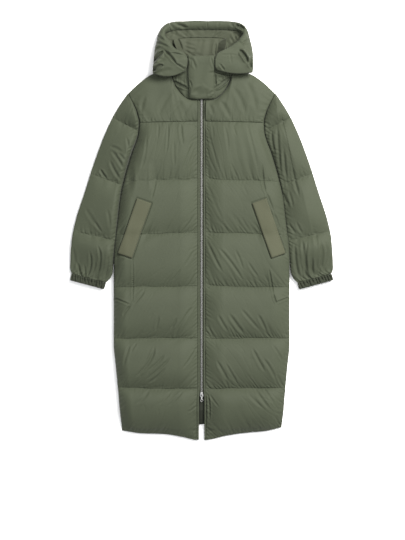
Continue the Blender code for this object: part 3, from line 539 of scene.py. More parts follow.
def wall(name, outer, inner, look, ring=False, coarse=1, **more):
    """A closed wall between two grids of points of the same shape.

    ring joins the last column of each to its first. coarse thins out the inner grid, where it
    doesn't show.
    """
    rows, cols = outer.shape[:2]
    half = rows * cols
    r_at = sorted({*range(0, rows, coarse), rows - 1})
    c_at = sorted({*range(0, cols, coarse), cols - 1})
    inner = inner[np.ix_(r_at, c_at)]
    in_rows, in_cols = inner.shape[:2]
    points = np.concatenate([outer.reshape(-1, 3), inner.reshape(-1, 3)])
    faces = grid_faces(rows, cols, 0, ring) + grid_faces(in_rows, in_cols, half, ring)
    if ring:
        for first in (0, half - cols):
            pairs = [(first + c, first + (c + 1) % cols) for c in range(cols)]
            faces += [[a, b, b + half, a + half] for a, b in pairs]
        return make_object(name, points, faces, look, **more)
    edge = [r * cols + c for r, c in border(rows, cols)]
    place = {point: i for i, point in enumerate(edge)}
    in_edge = border(in_rows, in_cols)
    for (r, c), (next_r, next_c) in zip(in_edge, in_edge[1:] + in_edge[:1]):
        first = place[r_at[r] * cols + c_at[c]]
        last = place[r_at[next_r] * cols + c_at[next_c]]
        last += len(edge) * (last <= first)
        run = [edge[k % len(edge)] for k in range(first, last + 1)]
        faces.append([*run, half + next_r * in_cols + next_c, half + r * in_cols + c])
    return make_object(name, points, faces, look, **more)


def slab(name, outer, flat, look, split_rows=(), **more):
    """A fine grid closed by flat faces: flat is the height of the other side, at each point or everywhere.

    split_rows are rows along which the flat side bends.
    """
    rows, cols = outer.shape[:2]
    ring = border(rows, cols)
    at_r, at_c = np.array(ring).T
    edge = outer[at_r, at_c]
    edge[:, 2] = np.broadcast_to(flat, (rows, cols))[at_r, at_c]
    start, count = rows * cols, len(ring)
    faces = grid_faces(rows, cols)
    for i, (r, c) in enumerate(ring):
        j = (i + 1) % count
        faces.append([r * cols + c, ring[j][0] * cols + ring[j][1], start + j, start + i])
    place = {rc: start + i for i, rc in enumerate(ring)}
    cuts = [0, *split_rows, rows - 1]
    for top, bottom in zip(cuts[:-1], cuts[1:]):
        loop = [place[r, 0] for r in range(bottom, top - 1, -1)]
        if top == 0:
            loop += [place[0, c] for c in range(1, cols - 1)]
        loop += [place[r, cols - 1] for r in range(top, bottom + 1)]
        if bottom == rows - 1:
            loop += [place[rows - 1, c] for c in range(cols - 2, 0, -1)]
        faces.append(loop)
    return make_object(name, np.concatenate([outer.reshape(-1, 3), edge]), faces, look, **more)


def tube(name, stacks, look, closed=(), **more):
    """One object from stacks of rings with flat ends.

    closed lists the stacks whose last ring joins the first.
    """
    faces, start = [], 0
    for k, rings in enumerate(stacks):
        rows, cols = rings.shape[:2]
        faces += grid_faces(rows, cols, start, True)
        last = start + (rows - 1) * cols
        if k in closed:
            ends = zip(range(cols), np.roll(range(cols), -1).tolist())
            faces += [[last + c, last + n, start + n, start + c] for c, n in ends]
        else:
            faces += [list(range(first, first + cols)) for first in (start, last)]
        start += rows * cols
    points = np.concatenate([rings.reshape(-1, 3) for rings in stacks])
    return make_object(name, points, faces, look, **more)


# ---------------------------------------------------------------- materials
def set_inputs(node, values):
    """Sets a node's inputs by their names, written with underscores."""
    for name, value in values.items():
        node.inputs[name.replace("_", " ")].default_value = value


def new_look(name, **values):
    """A material whose shader has the given values, and a function that adds nodes to it."""
    made = bpy.data.materials.new(name)
    made.use_nodes = True
    tree = made.node_tree
    shader = tree.nodes["Principled BSDF"]
    set_inputs(shader, values)
    MATERIALS[name] = made

    def link(source, output, node, socket):
        tree.links.new(source.outputs[output], node.inputs[socket])

    def add(kind, feeds=(), **inputs):
        node = tree.nodes.new(kind)
        set_inputs(node, inputs)
        for source, output, socket in feeds:
            link(source, output, node, socket)
        return node

    return made, shader, add, link


def cloth_look(name, colour, roughness, weave=0.28, crinkle=1.0):
    """Woven cloth: fine threads, a soft crinkle and slight changes of tone."""
    sheen = {"Specular_IOR_Level": 0.14, "Sheen_Weight": 0.05, "Sheen_Roughness": 0.45}
    made, shader, add, link = new_look(name, Roughness=roughness, **sheen)
    made.diffuse_color = (*colour, 1.0)
    on_it = [(add("ShaderNodeTexCoord"), "Object", "Vector")]
    tone = add("ShaderNodeTexNoise", on_it, Scale=9.0, Detail=4.0)
    change = {"From_Min": 0.3, "From_Max": 0.7, "To_Min": 0.95, "To_Max": 1.05}
    share = add("ShaderNodeMapRange", [(tone, "Fac", "Value")], **change)
    tint = add("ShaderNodeVectorMath")
    tint.operation = "SCALE"
    tint.inputs[0].default_value = colour
    link(share, "Result", tint, "Scale")
    link(tint, "Vector", shader, "Base Color")

    threads = []
    for direction in ("X", "Y"):
        thread = add("ShaderNodeTexWave", on_it, Scale=1.0 / (weave * MM * 20), Distortion=0.4)
        thread.bands_direction = direction
        threads.append((thread, "Fac", len(threads)))
    woven = add("ShaderNodeMath", threads)
    woven.operation = "MULTIPLY"
    fine = add("ShaderNodeBump", [(woven, "Value", "Height")], Strength=0.25, Distance=0.00005)
    rumple = add("ShaderNodeTexNoise", on_it, Scale=130.0, Detail=5.0, Roughness=0.6)
    feeds = [(rumple, "Fac", "Height"), (fine, "Normal", "Normal")]
    coarse = add("ShaderNodeBump", feeds, Strength=0.5 * crinkle, Distance=0.0011)
    link(coarse, "Normal", shader, "Normal")


def metal_look(name, colour, roughness):
    """Plated metal with fine brushed marks."""
    _, shader, add, link = new_look(name, Base_Color=(*colour, 1.0), Metallic=1.0)
    on_it = [(add("ShaderNodeTexCoord"), "Object", "Vector")]
    marks = add("ShaderNodeTexNoise", on_it, Scale=900.0, Detail=3.0)
    spread = {"To_Min": roughness - 0.08, "To_Max": roughness + 0.12}
    rough = add("ShaderNodeMapRange", [(marks, "Fac", "Value")], **spread)
    link(rough, "Result", shader, "Roughness")
    bump = add("ShaderNodeBump", [(marks, "Fac", "Height")], Strength=0.15, Distance=0.00004)
    link(bump, "Normal", shader, "Normal")


cloth_look("shell_fabric", (0.0340, 0.0400, 0.0251), 0.7)
# A lighter, yellower copy of the shell fabric: partly the welt cloth's own tone, partly painted light for
# the flat welts catching more light.
cloth_look("welt", (0.0446, 0.0474, 0.0284), 0.72)
cloth_look("cuff_fabric", (0.0200, 0.0235, 0.0150), 0.8)
cloth_look("lining_fabric", (0.0348, 0.0395, 0.0252), 0.72, crinkle=0.7)
cloth_look("zip_tape", (0.032, 0.036, 0.024), 0.8, weave=0.6, crinkle=0.2)
cloth_look("thread", (0.037, 0.041, 0.026), 0.6, weave=0.15, crinkle=0.0)
# Near black: painted shade for the back's inner side, deep in the open slit below the slider.
cloth_look("slit_painted_shade", (0.0128, 0.0146, 0.0100), 0.8)
metal_look("zip_metal", (0.145, 0.145, 0.142), 0.46)
metal_look("slider_metal", (0.21, 0.21, 0.206), 0.42)


# ---------------------------------------------------------------- fronts
def on_welt(x, y):
    """Where points lie from the middle of a pocket welt: across it, and along it."""
    lean = math.radians(WELT["lean"])
    dx, dy = x - WELT_CENTRE[0], y - WELT_CENTRE[1]
    return dx * math.cos(lean) + dy * math.sin(lean), -dx * math.sin(lean) + dy * math.cos(lean)


def under_welt(x, y):
    """1 under a pocket welt, which keeps the quilting from sinking in, 0 away from it."""
    past_end = np.abs(y - WELT_CENTRE[1]) - WELT["length"] / 2
    return (1 - ease((np.abs(on_welt(x, y)[0]) - 24) / 26)) * (1 - ease(past_end / 40))


def off_welt(x, y):
    """Distance outside a pocket welt's outline, negative within it."""
    across, down = on_welt(x, y)
    across = np.abs(across) - WELT["width"] / 2
    down = np.abs(down) - WELT["length"] / 2
    outside = np.hypot(np.maximum(across, 0), np.maximum(down, 0))
    return outside + np.minimum(np.maximum(across, down), 0)


def bridge(side, x, y):
    """1 where the stuffing bridges the seam above the wearer's right pocket."""
    if side == "left":
        return 0 * x
    return ease((x - 156) / 28) * ease((252 - x) / 26) * ease((y - 90) / 40) * ease((250 - y) / 40)


def front_thickness(x, y, side_room, side_reach, share, seam, bridged):
    """Thickness of a quilted front at x from the zip, side_room from the side seam."""
    zip_room = x - ZIP_HALF - PLACKET - slit_more(y)
    from_zip = 0.40 + 0.60 * np.sin(np.clip(zip_room / ZIP_ROLL, 0, 1) * np.pi / 2)
    slope = np.clip(side_room / side_reach, 0, 1)
    rise = (0.45 * roll(slope, 1.0) + 0.55 * np.sin(slope * np.pi / 2)) * from_zip
    near_zip = 1 - ease(zip_room / ZIP_ROLL)
    edge = THIN + arm_lift(y)
    valley = edge + np.maximum(seam - edge, 0) * roll(side_room, side_reach)
    valley = valley + np.minimum(PLACKET_TOP - 2 - valley, 0) * near_zip
    crown = edge + (CROWN - edge) * rise
    valley = valley + WELT["lift"] * under_welt(x, y)
    valley = valley + np.maximum(0.86 * crown - valley, 0) * bridged
    return valley + np.maximum(crown - valley, 0) * hang(share)


# Creases of the fronts. x counts from the zip outwards.
FRONT_CREASES = {
    "right": (
        # x, y of the first, middle and last point, half width, depth
        (116, 376, 116, 320, 124, 250, 4, 1.7),
        (94, 320, 95, 270, 93, 215, 4.8, 1.4),
        (72, 376, 69, 335, 62, 288, 5.6, 2.3),
        (189, 335, 194, 268, 211, 205, 4.8, 1.4),
        (22, 315, 46, 262, 64, 205, 4.8, 1.8),
        (15, 275, 22, 255, 32, 238, 3.2, 1.5),
        (150, 372, 149, 345, 153, 310, 4, 1.2),
        (158, 176, 165, 140, 173, 108, 4, 1.8),
        (20, 60, 40, 30, 66, -4, 4, 1.4),
        (14, 20, 22, 8, 38, -8, 3.2, 1.5),
        (22, -60, 40, -92, 66, -130, 4.8, 1.2),
        (68, -128, 84, -150, 104, -176, 4, 1.8),
        (194, -198, 216, -232, 247, -262, 4.8, 2),
        (24, -258, 53, -292, 90, -354, 5.6, 2.3),
        (84, -296, 95, -318, 108, -342, 4.8, 2),
        (147, -288, 152, -316, 160, -350, 4.8, 1.7),
        (163, -392, 180, -450, 240, -512, 5.6, 3.2),
        (126, -420, 150, -452, 192, -486, 4.8, 2.4),
        (105, -430, 143, -472, 206, -522, 4.8, 2.6),
        (120, -462, 150, -500, 196, -530, 4.8, 2),
        (12, -392, 38, -438, 76, -486, 4, 2),
        (246, -388, 260, -430, 270, -472, 5.6, 2.3),
        (222, -384, 234, -400, 246, -424, 4, 1.5),
        (60, -548, 90, -580, 124, -612, 4.8, 1.8),
        (100, -548, 128, -580, 150, -600, 4.8, 1.5),
        (180, -545, 200, -575, 232, -600, 6.4, 1.8),
        (14, -600, 34, -618, 52, -622, 4, 1.5),
    ),
    "left": (
        (21, -562, 27, -606, 26, -668, 3.6, 4.5),
        (20, 360, 42, 272, 72, 178, 4.8, 1.3),
        (15, 312, 28, 250, 60, 186, 4, 1.1),
        (36, 368, 39, 345, 42, 318, 4, 0.8),
        (74, 376, 88, 320, 91, 258, 4.8, 1.2),
        (106, 374, 113, 350, 122, 322, 4, 0.7),
        (154, 374, 176, 290, 200, 178, 5.6, 1.3),
        (168, 376, 177, 352, 190, 328, 4, 0.7),
        (100, 238, 112, 208, 128, 178, 4.8, 1.1),
        (13, 182, 42, 105, 90, -4, 5.6, 0.9),
        (15, 140, 20, 115, 28, 90, 3.2, 0.5),
        (15, 92, 28, 68, 46, 40, 4, 0.5),
        (15, 40, 26, 12, 44, -6, 4, 0.7),
        (140, 170, 150, 142, 164, 116, 4.8, 0.5),
        (120, 54, 128, 28, 142, -4, 4.8, 0.5),
        (136, 52, 150, 24, 174, -6, 4.8, 0.7),
        (52, -52, 100, -108, 152, -186, 5.6, 2.9),
        (17, -30, 44, -92, 76, -150, 5.6, 2.5),
        (112, -58, 130, -96, 144, -136, 4.8, 1.7),
        (158, -104, 176, -134, 200, -166, 4.8, 1.7),
        (92, -280, 120, -322, 152, -362, 6.4, 2.8),
        (54, -284, 72, -318, 94, -352, 5.6, 2),
        (134, -266, 164, -302, 208, -352, 5.6, 2.1),
        (192, -284, 208, -314, 226, -348, 5.6, 2.5),
        (172, -398, 196, -446, 222, -492, 5.6, 2.8),
        (210, -436, 236, -474, 264, -528, 5.6, 2.6),
        (50, -442, 72, -482, 98, -524, 5.6, 2.5),
        (80, -450, 102, -490, 128, -532, 4.8, 2.1),
        (242, -390, 262, -418, 282, -456, 4.8, 1.8),
        (182, -536, 208, -580, 242, -622, 5.6, 2.4),
        (210, -536, 232, -568, 256, -604, 4.8, 2),
        (154, -552, 180, -582, 214, -614, 5.6, 1.8),
        (26, -560, 42, -586, 64, -612, 4, 1.6),
    ),
}
POCKET_LINES = {
    # where the pocket bags are stitched to the fronts
    "right": (
        (237, -80, 237, -170, 238, -268, 3.4, 2.6),
        (314, -227, 276, -242, 238, -258, 3.4, 4.2),
        (240, -254, 258, -272, 276, -300, 4.4, 3.4),
        (300, -120, 282, -104, 262, -96, 5, 1.6),
    ),
    "left": (
        (230, -122, 240, -174, 250, -232, 3.4, 4.0),
        (247, -214, 252, -234, 260, -254, 3.4, 5.0),
        (252, -249, 277, -239, 312, -227, 3.4, 4.4),
        (209, 256, 212, 177, 224, 124, 4.4, 3.4),
        (219, 140, 236, 98, 250, 60, 5, 3.4),
        (246, 72, 261, 32, 276, -6, 5, 3.6),
    ),
}


def front_grid(side):
    """Rest surface of a front, its rows' shares across their channels, and the seams' and bend's rows."""
    u = np.linspace(0, 1, FRONT_COLS)
    phase = 0.3 if side == "left" else 2.1
    ends = [(*seam, height) for seam, height in zip(BODY_SEAMS, FRONT_VALLEYS)]
    ends.append((FRONT_HEM_Y, HEMS[side][-1][1], HEM_VALLEY))
    last = len(ends) - 2

    def seam_line(k):
        """Height of a seam across the front. Only the yoke seam runs straight."""
        line = ends[k][0] + (ends[k][1] - ends[k][0]) * u
        waver = 1.3 * np.sin(7.0 * u + 2.3 * k + phase) + 0.6 * np.sin(24.0 * u + 5.1 * k + phase)
        return line + np.sin(np.pi * u) ** 0.5 * waver if k else line

    channel_rows, seam_rows = channels([end[0] for end in ends], PITCH)
    rows = []
    for k, share in channel_rows:
        upper, lower = ends[k], ends[k + 1]
        edge_y = upper[1] + (lower[1] - upper[1]) * share
        edge_x = body_edge(edge_y)
        inner_x = INNER_X + slit_more(edge_y)
        x = inner_x + (edge_x - inner_x) * u
        start = seam_line(k)
        if k < last:
            y = start + (seam_line(k + 1) - start) * share
        elif share <= 0.5:
            y = start + (HEM_DROP[1] - start) * share / 0.5
        else:
            y = HEM_DROP[1] + (through(HEMS[side], x) - HEM_DROP[1]) * (share - 0.5) / 0.5
        seam = upper[2] + (lower[2] - upper[2]) * share
        side_room, bridged = edge_x - x, bridge(side, x, y)
        thick = front_thickness(x, y, side_room, SIDE_ROLL[side], share, seam, bridged)
        rows.append(np.stack([x, y, lay_over(y, thick)], -1))
    rows[0][:, 1] -= SEAM_GAP
    shares = np.array([share for _, share in channel_rows])
    return np.array(rows), shares, seam_rows, (seam_rows[-2] + seam_rows[-1]) // 2


def front(side):
    """A quilted front. Returns the points of its cloth and the rows of its seams."""
    base, share, seam_rows, bend_row = front_grid(side)
    shape = base.shape[:2]
    x, y = base[..., 0], base[..., 1]
    side_room, zip_room = body_edge(y) - x, x - INNER_X - slit_more(y)
    nearest = np.abs(np.arange(shape[0])[:, None] - np.array(seam_rows)[None, :]).argmin(axis=1)
    to_seam = np.abs(y - y[seam_rows].mean(axis=1)[nearest][:, None])
    low_seam = np.clip((share[:, None] - 0.5) / 0.5, 0, 1)
    gather = np.exp(-to_seam / 26.0) * (0.35 + 0.65 * low_seam)
    in_chest = (y > CHEST_LOW).astype(float)
    more_across = 0.006 + 0.03 * gather + 0.006 * in_chest
    more_down = 0.004 + 0.03 * np.exp(-zip_room / 18.0) + 0.015 * np.exp(-side_room / 24.0)
    spacing = (PITCH, (x[0, -1] - x[0, 0]) / (shape[1] - 1))
    seed = 11 if side == "left" else 12
    upright = grain(shape, spacing, 88, 42, 7.0, seed)
    slant = grain(shape, spacing, 55, 40, 11.0, seed + 10)
    patch = np.clip(grain(shape, spacing, 45, 60, 60, seed + 40) * 0.4 + 0.7, 0.2, 1.4)
    start = (in_chest * upright * 0.5 + (1 - in_chest) * 0.5 * slant) * patch
    start = start * roll(side_room, 30) * np.minimum(1, to_seam / 8 + 0.2)
    base[..., 0] *= SIGN[side]
    at = refine(settle(base, upwards(base), more_across, more_down, sewn(shape, seam_rows), start))

    seam_rows = [2 * r for r in seam_rows]
    shape = at.shape[:2]
    x, y = np.abs(at[..., 0]), at[..., 1]
    above, below = channel_rooms(y, seam_rows)
    to_seam = np.minimum(above, below)
    side_room, zip_room = body_edge(y) - x, x - INNER_X - slit_more(y)
    open_seam = 1 - bridge(side, x, y)
    height = 0 * x
    for k, (top, bottom) in enumerate(zip(seam_rows[:-1], seam_rows[1:])):
        part = slice(top, bottom + 1)
        span = (20.0, float(x[bottom, -1]) - 8)
        lean = (0.05, 0.35) if k == 0 else (0.25, 0.9)
        at_low = (span, (6, 13), lean, (10, 62), 1.8)
        at_top = (span, (10, 20), (-0.3, 0.3), (6, 14), 0.8)
        height[part] += gathers(x[part], below[part], *at_low, seed + 300 + k)
        height[part] += gathers(x[part], above[part], *at_top, seed + 320 + k)
    height *= open_seam
    height += crease(x, y, FRONT_CREASES[side])
    height += gathers(-y, zip_room, (-380, 720), (9, 19), (-1.1, -0.4), (8, 24), 1.7, seed + 340)
    height += gathers(-y, side_room, (-380, 680), (11, 22), (0.3, 0.9), (8, 26), 1.7, seed + 360)
    spacing = (PITCH / 2, (x[0, -1] - x[0, 0]) / (shape[1] - 1))
    lines = fine_lines(shape, spacing, 84, 30, 5.5, seed + 50) * (y > CHEST_LOW)
    lines += fine_lines(shape, spacing, 58, 26, 5.5, seed + 60) * (y <= CHEST_LOW)
    height -= 0.6 * lines * patches(shape, spacing, seed + 70)
    height *= np.minimum(1, to_seam / 5) ** 0.7 * np.minimum(1, zip_room / 3) * roll(side_room, 14)
    groove = bell(to_seam / 2.0) * roll(side_room, 30) * np.minimum(1, zip_room / 3)
    height -= 0.6 * groove * open_seam
    height -= 5.0 * bell((off_welt(x, y) - 1.4) / 1.7)
    height += crease(x, y, POCKET_LINES[side])
    at = at + upwards(at) * height[..., None]
    made = slab(f"front_{side}.cloth", at, parting(at[..., 1]) + SEAM_GAP, "shell_fabric", [2 * bend_row])
    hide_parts(f"front_{side}")
    return at, seam_rows


fronts = {side: front(side) for side in SIGN}


# ---------------------------------------------------------------- yokes
def neck_edge():
    """Plan of the front neckline beside the collar's neck seam, from the placket outwards."""
    neck = np.array([s[:2] for s in COLLAR_STATIONS[: COLLAR_SIDE + 1]], float)
    run = np.gradient(neck, axis=0)
    run /= np.linalg.norm(run, axis=1, keepdims=True)
    clear = SEAM_GAP + 0.1 + 1.5 * ease(np.linspace(-1, 1, len(neck)))[:, None]
    edge = neck + np.column_stack([run[:, 1], -run[:, 0]]) * clear
    edge[1, 0] = INNER_X
    return edge[1:]


# Soft creases of the yokes. x counts from the zip outwards.
YOKE_CREASES = {
    "right": (
        (96, 488, 128, 446, 150, 396, 10, 2.0),
        (60, 452, 92, 424, 112, 388, 9, 1.6),
        (190, 470, 204, 440, 206, 404, 8, 2.0),
        (30, 444, 52, 420, 62, 392, 8, 1.4),
    ),
    "left": (
        (62, 452, 84, 420, 98, 386, 9, 2.2),
        (104, 500, 136, 450, 150, 394, 10, 2.0),
        (150, 520, 176, 470, 190, 400, 11, 1.8),
        (24, 440, 34, 420, 40, 396, 7, 1.6),
    ),
}


def yoke(side):
    """The plain upper front between the yoke seam, the armhole, the shoulder and the neck."""
    neck_cols, shoulder_cols, rows = 42, 46, 47
    parts = ((neck_edge(), neck_cols), (SHOULDER, shoulder_cols))
    upper = np.vstack([evenly(along(line, np.linspace(0, 1, 200)), cols) for line, cols in parts])
    (zip_y, side_y), tip_y = BODY_SEAMS[0], SHOULDER[-1][1]
    edge_x = float(body_edge(side_y)) - SEAM_GAP
    u = reach_of(upper) / reach_of(upper)[-1]
    v = dense_ends(rows)[:, None]
    lower = np.stack([INNER_X + (edge_x - INNER_X) * u, zip_y + (side_y - zip_y) * u], -1)
    at_neck = np.arange(len(u)) < neck_cols
    at_shoulder = THIN + 1.4 * np.exp(-np.arange(shoulder_cols) / 4.0)
    top_thick = np.concatenate([np.linspace(12.0, 4.5, neck_cols), at_shoulder])
    length = np.linalg.norm(upper - lower, axis=1)
    flat = lower + (upper - lower) * v[..., None]
    arm_x = body_edge(side_y + (tip_y - side_y) * v) - SEAM_GAP
    flat[..., 0] += (arm_x - flat[:, -1:, 0]) * u**2
    side_room = (1 - u) * 230
    rise = roll(v * length, 60) * roll((1 - v) * length, np.where(at_neck, 45, 75)) * roll(side_room, 60)
    near_zip = 1 - ease((flat[..., 0] - INNER_X) / ZIP_ROLL)
    sunk = np.where(at_neck, 0.5, 0) * ease((v - 0.93) / 0.07)
    edge = YOKE_VALLEY + (top_thick * (1 - sunk) - YOKE_VALLEY) * ease(v)
    side_edge = THIN + arm_lift(flat[..., 1]) * (1 - ease((v - 0.8) / 0.2))
    edge = side_edge + (edge - side_edge) * roll(side_room, 40)
    edge = edge + (PLACKET_TOP - 2 - edge) * near_zip
    thick = edge + np.maximum(YOKE_CROWN - edge, 0) * rise
    base = np.dstack([flat, MID + SEAM_GAP + thick])

    shape, spacing = base.shape[:2], (YOKE_PITCH, YOKE_PITCH)
    to_yoke_seam = v * length
    arm = np.exp(-side_room / 22.0)
    more_across = 0.005 + 0.02 * np.exp(-to_yoke_seam / 24.0)
    more_down = 0.005 + 0.03 * arm + 0.02 * np.exp(-(base[..., 0] - INNER_X) / 18.0)
    seed = 61 if side == "left" else 62
    broad = grain(shape, spacing, 70, 60, 11, seed)
    fine = grain(shape, spacing, 85, 20, 4.5, seed + 10)
    arm_fine = grain(shape, spacing, 10, 14, 4.5, seed + 20)
    start = 0.7 * broad + 0.4 * fine * np.exp(-to_yoke_seam / 20.0) + 0.7 * arm_fine * arm
    base[..., 0] *= SIGN[side]
    at = refine(settle(base, upwards(base), more_across, more_down, sewn(shape), start))

    x, y = np.abs(at[..., 0]), at[..., 1]
    (rows, cols), spacing = x.shape, (YOKE_PITCH / 2, YOKE_PITCH / 2)
    side_room = (body_edge(y) - x).clip(0)
    height = gathers(x, y - y[:1], (20, 212), (9, 17), (-0.2, 0.3), (7, 22), 0.9, seed + 300)
    height += gathers(-y, side_room, (-470, -380), (8, 14), (0.1, 0.6), (8, 22), 1.0, seed + 310)
    height += crease(x, y, YOKE_CREASES[side])
    lines = fine_lines(x.shape, spacing, 62, 40, 6.5, seed + 50)
    height -= 0.35 * lines * patches(x.shape, spacing, seed + 70, 0.4, 1.2)
    edge = np.minimum(far_from([0, rows - 1], rows)[:, None], far_from([0, cols - 1], cols)[None, :])
    height *= np.minimum(1, edge / 5)
    at = at + upwards(at) * height[..., None]
    made = slab(f"yoke_{side}.cloth", at, MID + SEAM_GAP, "shell_fabric")
    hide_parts(f"yoke_{side}")


for side in SIGN:
    yoke(side)


# ---------------------------------------------------------------- back
def back():
    """The back, flat on the floor, from the neck and shoulders to the hem."""
    top_line = np.array(BACK_NECK + SHOULDER)
    tip_x, tip_y = top_line[-1]
    u = np.linspace(-1, 1, BACK_COLS)
    seams = [476] + [at_side for _, at_side in BODY_SEAMS] + [BACK_HEM_Y]
    channel_rows, seam_rows = channels(seams, BACK_PITCH)
    edge_y = np.array([seams[k] + (seams[k + 1] - seams[k]) * share for k, share in channel_rows])
    bend_row = int(np.argmin(np.abs(edge_y - HEM_DROP[1])))
    edge_y[bend_row] = HEM_DROP[1]
    edge_y, share = edge_y[:, None], np.array([share for _, share in channel_rows])[:, None]
    edge_x = body_edge(edge_y)
    bow = (through(top_line, np.abs(u) * tip_x) - tip_y) * ease((edge_y - 300) / 176)
    y = edge_y + bow
    room = np.minimum((1 - np.abs(u)) * edge_x, (edge_y[0] - edge_y) * 1.4)
    lift = 1 - roll(room, UNDER_ROLL)
    most = np.maximum(parting(y) - THIN, 0)
    sunk = (1 - puff(share)) ** 2 * (2.2 + 6.0 * lift)
    under = np.minimum(most * lift + sunk * (edge_y < 476), most)
    low = np.dstack([u * edge_x, y, under])

    shape, spacing = low.shape[:2], (BACK_PITCH, BACK_PITCH)
    near = np.exp(-far_from(seam_rows, shape[0]) * BACK_PITCH / 34.0)[:, None]
    upright = grain(shape, spacing, 90, 34, 7.5, 71)
    slant = grain(shape, spacing, 62, 40, 10, 72)
    start = np.abs(upright * near * 1.3 + slant * 0.5) * roll((1 - np.abs(u)) * 300, 30)
    start = start * np.minimum(1, np.maximum(parting(y) - THIN - under, 0) / 4)
    low[..., 2] += start * sewn(shape, seam_rows)
    made = slab("back.cloth", low, parting(y), "shell_fabric", [bend_row])
    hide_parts("back")


def slit_shade_sheet():
    """The back's inner side where the open slit bares it below the slider, a dark sheet whose colour is
    painted shade of the deep slit.
    """
    x = np.linspace(-18, 18, 25)[None, :]
    y = np.interp(np.arange(51), (0, 30, 50), (-548, HEM_DROP[1], BACK_HEM_Y))[:, None]
    bare = (1 - ease((np.abs(x) - 3) / 7)) * ease((-560 - y) / 12)
    z = parting(y) + 0.18 + bare * (1.3 + 0.5 * grain((51, 25), (2.4, 1.5), 80, 20, 5, 151))
    grid = np.dstack([x + 0 * y, y + 0 * x, z])
    flat = parting(grid[..., 1]) + 0.06
    made = slab("back_slit_shade.lining", grid, flat, "slit_painted_shade", [30], slot="lining_fabric")
    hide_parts("back")


back()
slit_shade_sheet()


# ---------------------------------------------------------------- sleeves
def sleeve_inner(y):
    """The sleeve's inner edge lies against the body's edge, then leaves it above the cuff."""
    against = body_edge(y) + np.interp(y, *np.transpose(ARMPIT))
    return np.where(np.asarray(y) < SLEEVE_INNER_LOW[0][0], through(SLEEVE_INNER_LOW, y), against)


def sleeve_rows():
    """(inner point, outer point, share across the channel, channel) of each ring, and the seams' rows."""
    channel_rows, seam_rows = channels([0.5 * (inner + outer) for inner, outer in SLEEVE_SEAMS], PITCH)
    seams = np.array(SLEEVE_SEAMS, float)
    rows = []
    for k, share in channel_rows:
        inner_y, outer_y = seams[k] + (seams[k + 1] - seams[k]) * share
        inner = np.array((float(sleeve_inner(inner_y)), inner_y))
        outer = np.array((float(through(SLEEVE_OUTER, outer_y)), outer_y))
        rows.append((inner, outer, share, k))
    return rows, seam_rows


SLEEVE_FORMS = {
    # crest: its share of the width, from the inner edge; slopes to it: 0 round, 1 straight
    "left": {"crest": 0.56, "inner_slope": 0.5, "outer_slope": 0.2, "gathered": 75, "seed": 81},
    "right": {"crest": 0.15, "inner_slope": 0.0, "outer_slope": 0.8, "gathered": 160, "seed": 82},
}
# Creases of the sleeves' upper sides. x counts from the zip outwards.
SLEEVE_CREASES = {
    "right": (
        # x, y of the first, middle and last point, half width, depth
        (318, 290, 298, 286, 268, 268, 6, 2.6),
        (314, 280, 288, 246, 262, 200, 6, 3.0),
        (318, 250, 302, 210, 274, 168, 6, 2.6),
        (352, 216, 342, 198, 326, 178, 5, 3.6),
        (290, 270, 274, 254, 258, 234, 5, 2.2),
        (262, 330, 252, 290, 254, 250, 5, 2.0),
        (404, 84, 382, 46, 352, 2, 7, 1.4),
        (370, 36, 358, 14, 342, -8, 5, 1.8),
        (328, 80, 318, 40, 316, -2, 6, 1.4),
        (389, -60, 384, -118, 403, -168, 5, 3.4),
        (362, -44, 350, -100, 369, -174, 5, 3.6),
        (366, -100, 372, -130, 388, -168, 4, 2.2),
        (322, -70, 326, -128, 342, -176, 6, 3.2),
        (304, -90, 312, -132, 330, -172, 5, 2.6),
        (434, -100, 424, -136, 416, -168, 5, 2.6),
        (408, -110, 404, -140, 404, -168, 4, 2.0),
        (448, -50, 440, -88, 436, -124, 6, 1.4),
    ),
    "left": (
        (262, 366, 264, 290, 277, 184, 6, 2.8),
        (282, 290, 286, 228, 296, 166, 6, 3.0),
        (312, 234, 322, 172, 338, 112, 6, 3.0),
        (244, 352, 243, 310, 258, 262, 5, 2.4),
        (276, 140, 290, 108, 306, 76, 6, 2.0),
        (300, 142, 308, 112, 316, 78, 5, 1.6),
        (298, 34, 312, 8, 328, -12, 5, 2.0),
        (326, 34, 336, 10, 350, -12, 5, 1.8),
        (322, -36, 324, -100, 338, -168, 6, 3.0),
        (346, -24, 354, -90, 362, -168, 6, 3.4),
        (368, -28, 360, -92, 372, -164, 5, 2.6),
        (404, -20, 416, -92, 396, -160, 6, 3.2),
        (424, -30, 434, -84, 420, -142, 6, 2.4),
        (384, -84, 382, -124, 386, -162, 5, 2.4),
        (344, -110, 348, -140, 352, -172, 4, 2.2),
        (444, -80, 442, -112, 436, -148, 5, 2.2),
        (392, 0, 396, -30, 398, -64, 6, 1.6),
    ),
}
SLEEVE_FOLDS = {
    "right": (
        (372, -162, 358, -128, 356, -76, 18, 2.0),
    ),
    "left": (
        # the ridge between the inner part beside the armhole and the outer part
        (268, 440, 298, 300, 330, 140, 46, 2.2),
    ),
}


def to_crest(share, reach, straight):
    """Rise of a sleeve from its edge to its crest: round, or with straight=1 an even slope."""
    share = np.clip(share / reach, 0, 1)
    return (1 - straight) * roll(share, 1.0) + straight * (1 - (1 - share) ** 1.2) * roll(share, 0.06)


